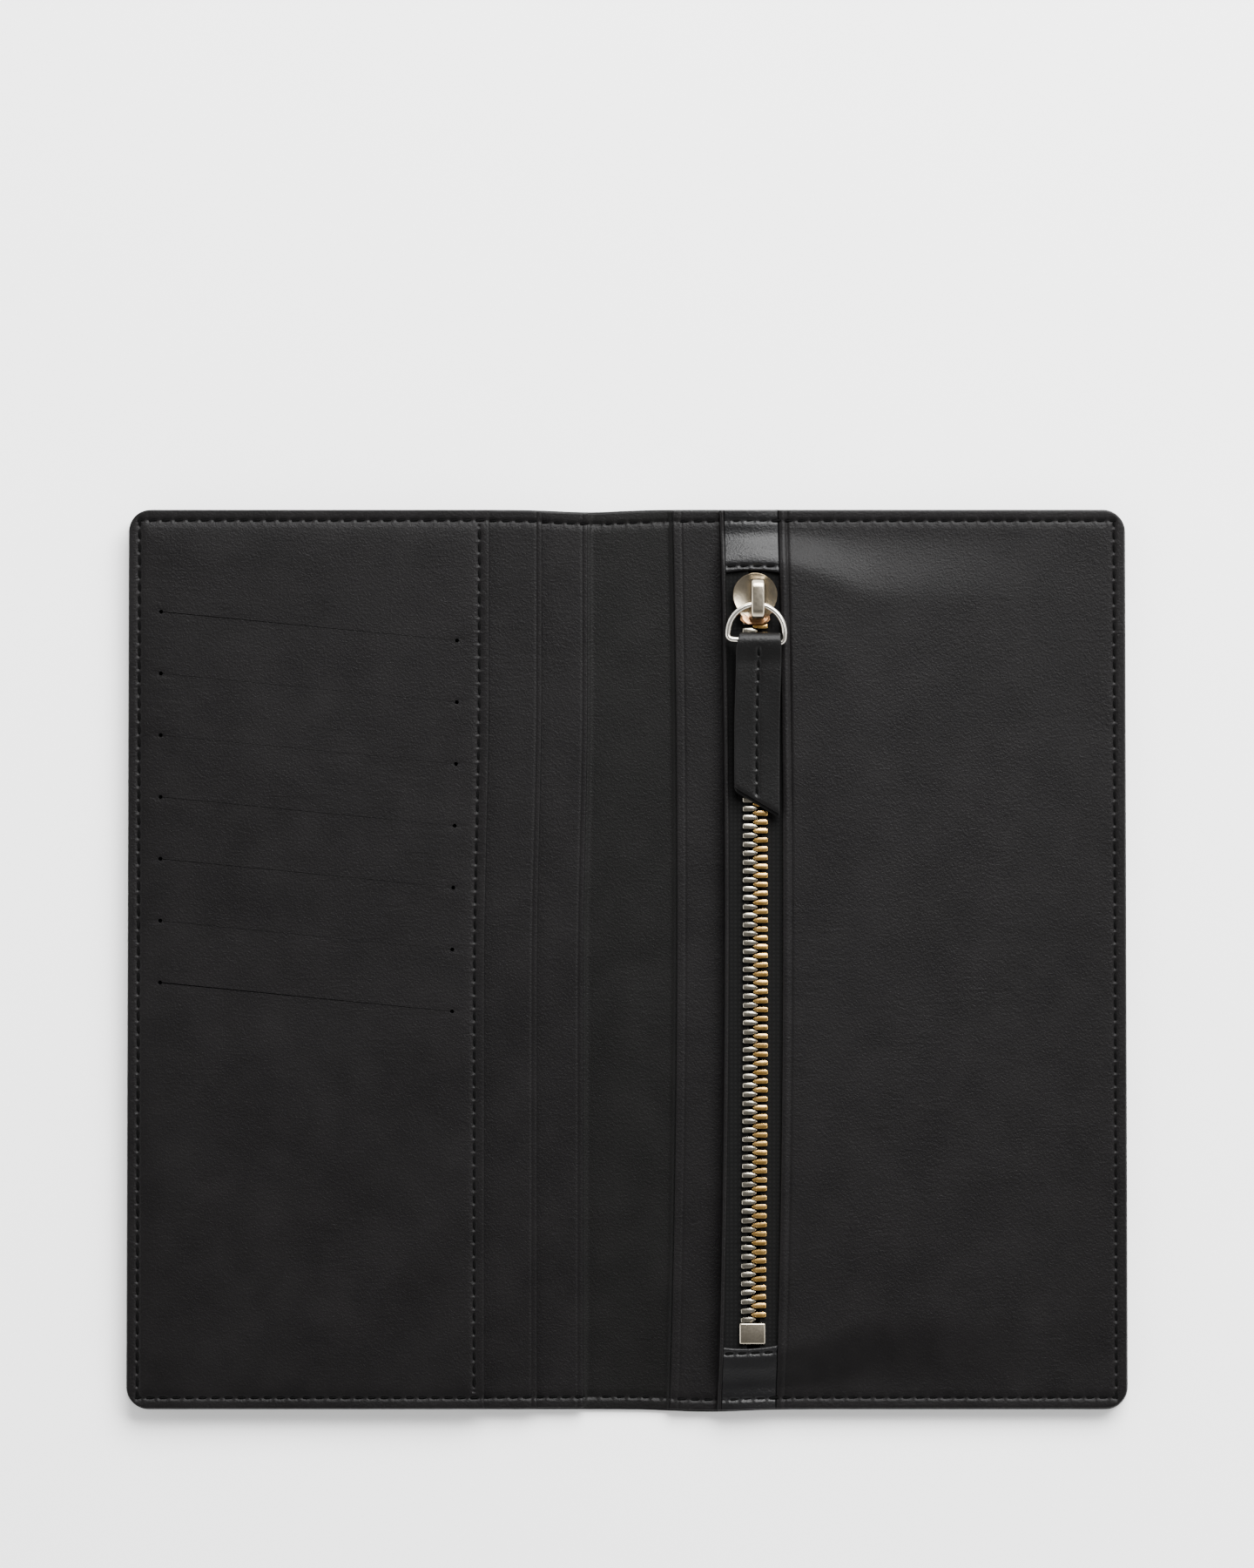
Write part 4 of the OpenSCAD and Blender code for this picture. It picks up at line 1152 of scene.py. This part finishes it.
def pull_ring_piece():
    x0, x1 = low("pull_ring", X) + WIRE_R, high("pull_ring", X) - WIRE_R
    y_bar, y_top = low("pull_ring", Y) + WIRE_R, high("pull_ring", Y) - WIRE_R
    arc = (x1 - x0) / 2
    bend = 1.0 * MM
    centre = (x0 + x1) / 2
    points = [(centre + arc * math.cos(a), y_top - arc + arc * math.sin(a)) for a in np.linspace(0, math.pi, 41)]
    points += [(x0 + bend - bend * math.cos(a), y_bar + bend - bend * math.sin(a))
               for a in np.linspace(0, math.pi / 2, 8)]
    points += [(x1 - bend + bend * math.sin(a), y_bar + bend - bend * math.cos(a))
               for a in np.linspace(0, math.pi / 2, 8)]
    pivot = Vector((centre, y_top - arc))
    points = [pivot + Matrix.Rotation(RING_TURN, 2) @ (Vector(p) - pivot) + Vector((0.17 * MM, 0.15 * MM))
              for p in points]
    vertices, faces = [], []
    sides = 16
    count = len(points)
    for i, (x, y) in enumerate(points):
        ahead, behind = points[(i + 1) % count], points[i - 1]
        heading = Vector((ahead[0] - behind[0], ahead[1] - behind[1])).normalized()
        out = Vector((heading.y, -heading.x))
        for k in range(sides):
            a = 2 * math.pi * k / sides
            vertices.append((x + out.x * WIRE_R * math.cos(a), y + out.y * WIRE_R * math.cos(a),
                             RING_Z + WIRE_R * math.sin(a)))
        j = (i + 1) % count
        for k in range(sides):
            m = (k + 1) % sides
            faces.append([i * sides + k, j * sides + k, j * sides + m, i * sides + m])
    piece = mesh_object("pull_ring_wire", vertices, faces, 60, None)
    return finish_piece(piece, RING_METAL, "ring", ["pull_ring"])


pull_ring_piece()

# ---- Pull strap ----

STRAP_T = 0.9 * MM
STRAP_X0, STRAP_X1 = low("pull_strap", X), high("pull_strap", X)
STRAP_TIP, STRAP_FOLD = low("pull_strap", Y), high("pull_strap", Y)
STRAP_RISE = 5.4 * MM        # how much higher the cut end is on its left side
STRAP_LAYER = 0.7 * MM       # how far the lower layer reaches beyond the upper one
STRAP_PITCH = 2.52 * MM
STRAP_STITCH_Y = [61.0 * MM - k * STRAP_PITCH for k in range(12)]
STRAP_MID = (STRAP_X0 + STRAP_X1) / 2
BAR_Y = low("pull_ring", Y) + WIRE_R
STRAP_DROOP = 1.15 * MM
LOOP_R = 1.07 * MM           # middle of the leather from the bar's centre
LOOP_SLACK = 0.4 * MM


def strap_droop(y):
    """How far the strap has sunk from the bar towards its tip, where it lies on the teeth."""
    return STRAP_DROOP * float(ease((BAR_Y - 1.5 * MM - y) / (26 * MM)))


def strap_gap(y):
    """Half the distance between the middles of the two layers, which close up below the bar."""
    return LOOP_R - (LOOP_R - STRAP_T / 2 - 0.01 * MM) * float(ease((BAR_Y - y) / (4.5 * MM)))


def strap_x(x, y):
    """The strap leans a little to the right, and narrows where it is folded over the bar."""
    near_fold = float(ease((y - BAR_Y + 1.6 * MM) / (3.5 * MM)))
    pull = -0.2 * MM if x > STRAP_MID else 0.7 * MM
    share = abs(x - STRAP_MID) / (STRAP_X1 - STRAP_MID)
    return x + (0.3 + 0.35 * float(ease((y - 45 * MM) / (16 * MM)))) * MM + pull * share * near_fold


def strap_tip(x):
    """The slanted cut, with its left corner a little rounded."""
    t = (x - STRAP_X0) / (STRAP_X1 - STRAP_X0)
    return STRAP_TIP + STRAP_RISE * (1 - t) + 0.7 * MM * max(0.0, 1 - t / 0.08) ** 2


def strap_piece():
    columns = with_lines(spaced(STRAP_X0, STRAP_X1, 0.45 * MM, EDGE_LINES[:4]), STRAP_MID + np.array(ACROSS))
    straight, around = 110, 24
    over, under = [], []
    for x in columns:
        edge = min(x - STRAP_X0, STRAP_X1 - x)
        half = STRAP_T / 2 - float(fillet(edge, 0.3 * MM)) * 0.9
        tip = strap_tip(x)
        line = []
        for k in range(straight):
            y = tip + (BAR_Y - tip) * k / straight
            line.append((y, RING_Z - strap_gap(y) - strap_droop(y), 0.0, -1.0))
        for k in range(around + 1):
            a = -math.pi / 2 + math.pi * k / around
            line.append((BAR_Y + (LOOP_R + LOOP_SLACK) * math.cos(a), RING_Z + LOOP_R * math.sin(a),
                         math.cos(a), math.sin(a)))
        for k in range(straight):
            y = BAR_Y + (tip + STRAP_LAYER - BAR_Y) * (k + 1) / straight
            line.append((y, RING_Z + strap_gap(y) - strap_droop(y), 0.0, 1.0))
        outer_row, inner_row = [], []
        for k, (y, z, ny, nz) in enumerate(line):
            squeeze = (0.6, 0.85, 0.96, 1.0)[min(k, len(line) - 1 - k, 3)]
            h = half * squeeze
            dent = 0.0
            if abs(x - STRAP_MID) < 1.2 * MM and STRAP_STITCH_Y[-1] - STRAP_PITCH / 2 < y < STRAP_STITCH_Y[0] + STRAP_PITCH / 2:
                dent = float(bump_row(x - STRAP_MID, y - STRAP_STITCH_Y[0] + STRAP_PITCH / 2, pitch=STRAP_PITCH))
            outer_row.append((strap_x(x, y), y + ny * (h - dent), z + nz * (h - dent)))
            inner_row.append((strap_x(x, y), y - ny * h, z - nz * h))
        over.append(outer_row)
        under.append(inner_row)
    n, m = len(columns), len(over[0])
    vertices = [p for row in over for p in row] + [p for row in under for p in row]
    index = np.arange(n * m).reshape(n, m)
    faces = []
    for i in range(n - 1):
        for j in range(m - 1):
            a, b, c, d = index[i, j], index[i + 1, j], index[i + 1, j + 1], index[i, j + 1]
            faces.append([a, d, c, b])
            faces.append([a + n * m, b + n * m, c + n * m, d + n * m])
    ring = list(index[:, 0]) + list(index[-1, 1:]) + list(index[-2::-1, -1]) + list(index[0, -2:0:-1])
    for k in range(len(ring)):
        a, b = ring[k], ring[(k + 1) % len(ring)]
        faces.append([a, b, b + n * m, a + n * m])
    piece = mesh_object("pull_strap_leather", vertices, faces, 45, None)
    return finish_piece(piece, STRAP_LEATHER, "pull", ["pull_strap"])


strap_piece()

# ---- Stitches ----


def stitch_mesh(places):
    """One mesh of short threads. Each place is (x, y, z, angle, up): the thread dives into the
    leather at both ends."""
    rings, sides = 7, 7
    length = 0.76 * PITCH
    shape = []
    for i in range(rings):
        t = -1 + 2 * i / (rings - 1)
        rise = 0.24 * MM * math.sqrt(max(0.0, 1 - t * t)) - 0.24 * MM
        radius = THREAD_R * (0.62 + 0.38 * math.sqrt(max(0.0, 1 - t**4)))
        for k in range(sides):
            a = 2 * math.pi * k / sides
            shape.append((t * length / 2, radius * math.cos(a), rise + radius * math.sin(a)))
    shape = np.array(shape)
    faces = []
    for i in range(rings - 1):
        for k in range(sides):
            j = (k + 1) % sides
            faces.append([i * sides + k, (i + 1) * sides + k, (i + 1) * sides + j, i * sides + j][::-1])
    faces.append([k for k in range(sides)][::-1][::-1])
    faces.append([(rings - 1) * sides + k for k in reversed(range(sides))])
    all_v, all_f = [], []
    lean = math.radians(7)
    for x, y, z, angle, up in places:
        turn = angle + lean
        v = np.empty_like(shape)
        v[:, 0] = x + shape[:, 0] * math.cos(turn) - shape[:, 1] * math.sin(turn)
        v[:, 1] = y + shape[:, 0] * math.sin(turn) + shape[:, 1] * math.cos(turn)
        v[:, 2] = z + up * shape[:, 2]
        base = len(all_v) * len(shape)
        all_v.append(v)
        all_f += [[base + i for i in (f if up > 0 else f[::-1])] for f in faces]
    return np.vstack(all_v), all_f


def row(axis, from_, to, fixed, height, up=1):
    """Stitches between the needle holes, which lie at whole pitches along the row."""
    first = math.ceil(from_ / PITCH - 0.5)
    last = math.floor(to / PITCH - 0.5)
    places = []
    for k in range(first, last + 1):
        s = (k + 0.5) * PITCH
        x, y = (s, fixed) if axis == X else (fixed, s)
        places.append((x, y, height(x, y) if callable(height) else height, 0 if axis == X else math.pi / 2, up))
    return places


def stitches(node, places, body, move=settle):
    vertices, faces = stitch_mesh(places)
    piece = mesh_object(node + "_thread", vertices, faces, 60, move)
    return finish_piece(piece, THREAD, body, [node])


SINK = 0.30 * MM             # middle of the thread below the leather beside it
CARD_SEAM_TOP = CARD_TOP - 0.26 * MM


def both_ends(x0, x1, height, up=1):
    return row(X, x0, x1, SEAM_Y, height, up) + row(X, x0, x1, -SEAM_Y, height, up)


left_places = both_ends(-SEAM_X, -CARD_EDGE - 1 * MM, CARD_SEAM_TOP - SINK)
left_places += both_ends(-CARD_EDGE, -MIDDLE_MOUTH - 0.6 * MM, high("long_pocket_middle", Z) - SINK)
left_places += both_ends(-MIDDLE_MOUTH, -BACK_MOUTH - 0.6 * MM, high("long_pocket_back", Z) - SINK)
left_places += row(Y, -SEAM_Y, SEAM_Y, -SEAM_X, CARD_SEAM_TOP - SINK)
left_places += both_ends(-SEAM_X, -FOLD_X - 1.2 * MM, SINK, -1)
left_places += row(Y, -SEAM_Y, SEAM_Y, -SEAM_X, SINK, -1)
stitches("stitching_left_leaf", left_places, "left_leaf")

stitches("stitching_card_panel",
         row(Y, -SEAM_Y + PITCH, SEAM_Y - PITCH, -CARD_SEAM, CARD_TOP - 0.12 * MM - SINK),
         "left_leaf")

spine_places = both_ends(-FOLD_X + 1.2 * MM, FOLD_X - 1.2 * MM, SPINE_TOP - 0.06 * MM - SINK)
spine_places += both_ends(-FOLD_X + 1.2 * MM, FOLD_X - 1.2 * MM, SINK, -1)
stitches("stitching_spine", spine_places, "spine")

right_places = both_ends(NOTE_MOUTH + 0.4 * MM, WALL_X0, high("note_pocket_right", Z) - SINK)
right_places += both_ends(ROOF_X + 0.3 * MM, SEAM_X, BORDER_Z - 0.05 * MM - SINK)
right_places += both_ends(WALL_X1, ROOF_X, BORDER_Z + 0.2 * MM - SINK)
right_places += row(Y, -SEAM_Y, SEAM_Y, SEAM_X, BORDER_Z - 0.05 * MM - SINK)
right_places += both_ends(FOLD_X + 1.2 * MM, SEAM_X, SINK, -1)
right_places += row(Y, -SEAM_Y, SEAM_Y, SEAM_X, SINK, -1)
stitches("stitching_right_leaf", right_places, "right_leaf")

tab_top = ROOF_TOP - 0.12 * MM - SINK
tab_places = [(WALL_X1 + (k + 0.5) * PITCH, sign * TAB_SEAM, tab_top, 0, 1) for k in range(4) for sign in (-1, 1)]
stitches("stitching_zip_tabs", tab_places, "right_leaf")

strap_places = []
for y in STRAP_STITCH_Y:
    for up in (-1, 1):
        z = RING_Z - strap_droop(y) + up * (strap_gap(y) + STRAP_T / 2 - SINK)
        strap_places.append((strap_x(STRAP_MID, y), y, z, math.pi / 2, up))
stitches("stitching_pull_strap", strap_places, "pull", None)

# ---- CAD nodes that stay: the hidden boards ----

for board in ("stiffener_left", "stiffener_right"):
    for slot_item in frame["nodes"][board].material_slots:
        slot_item.material = BOARD
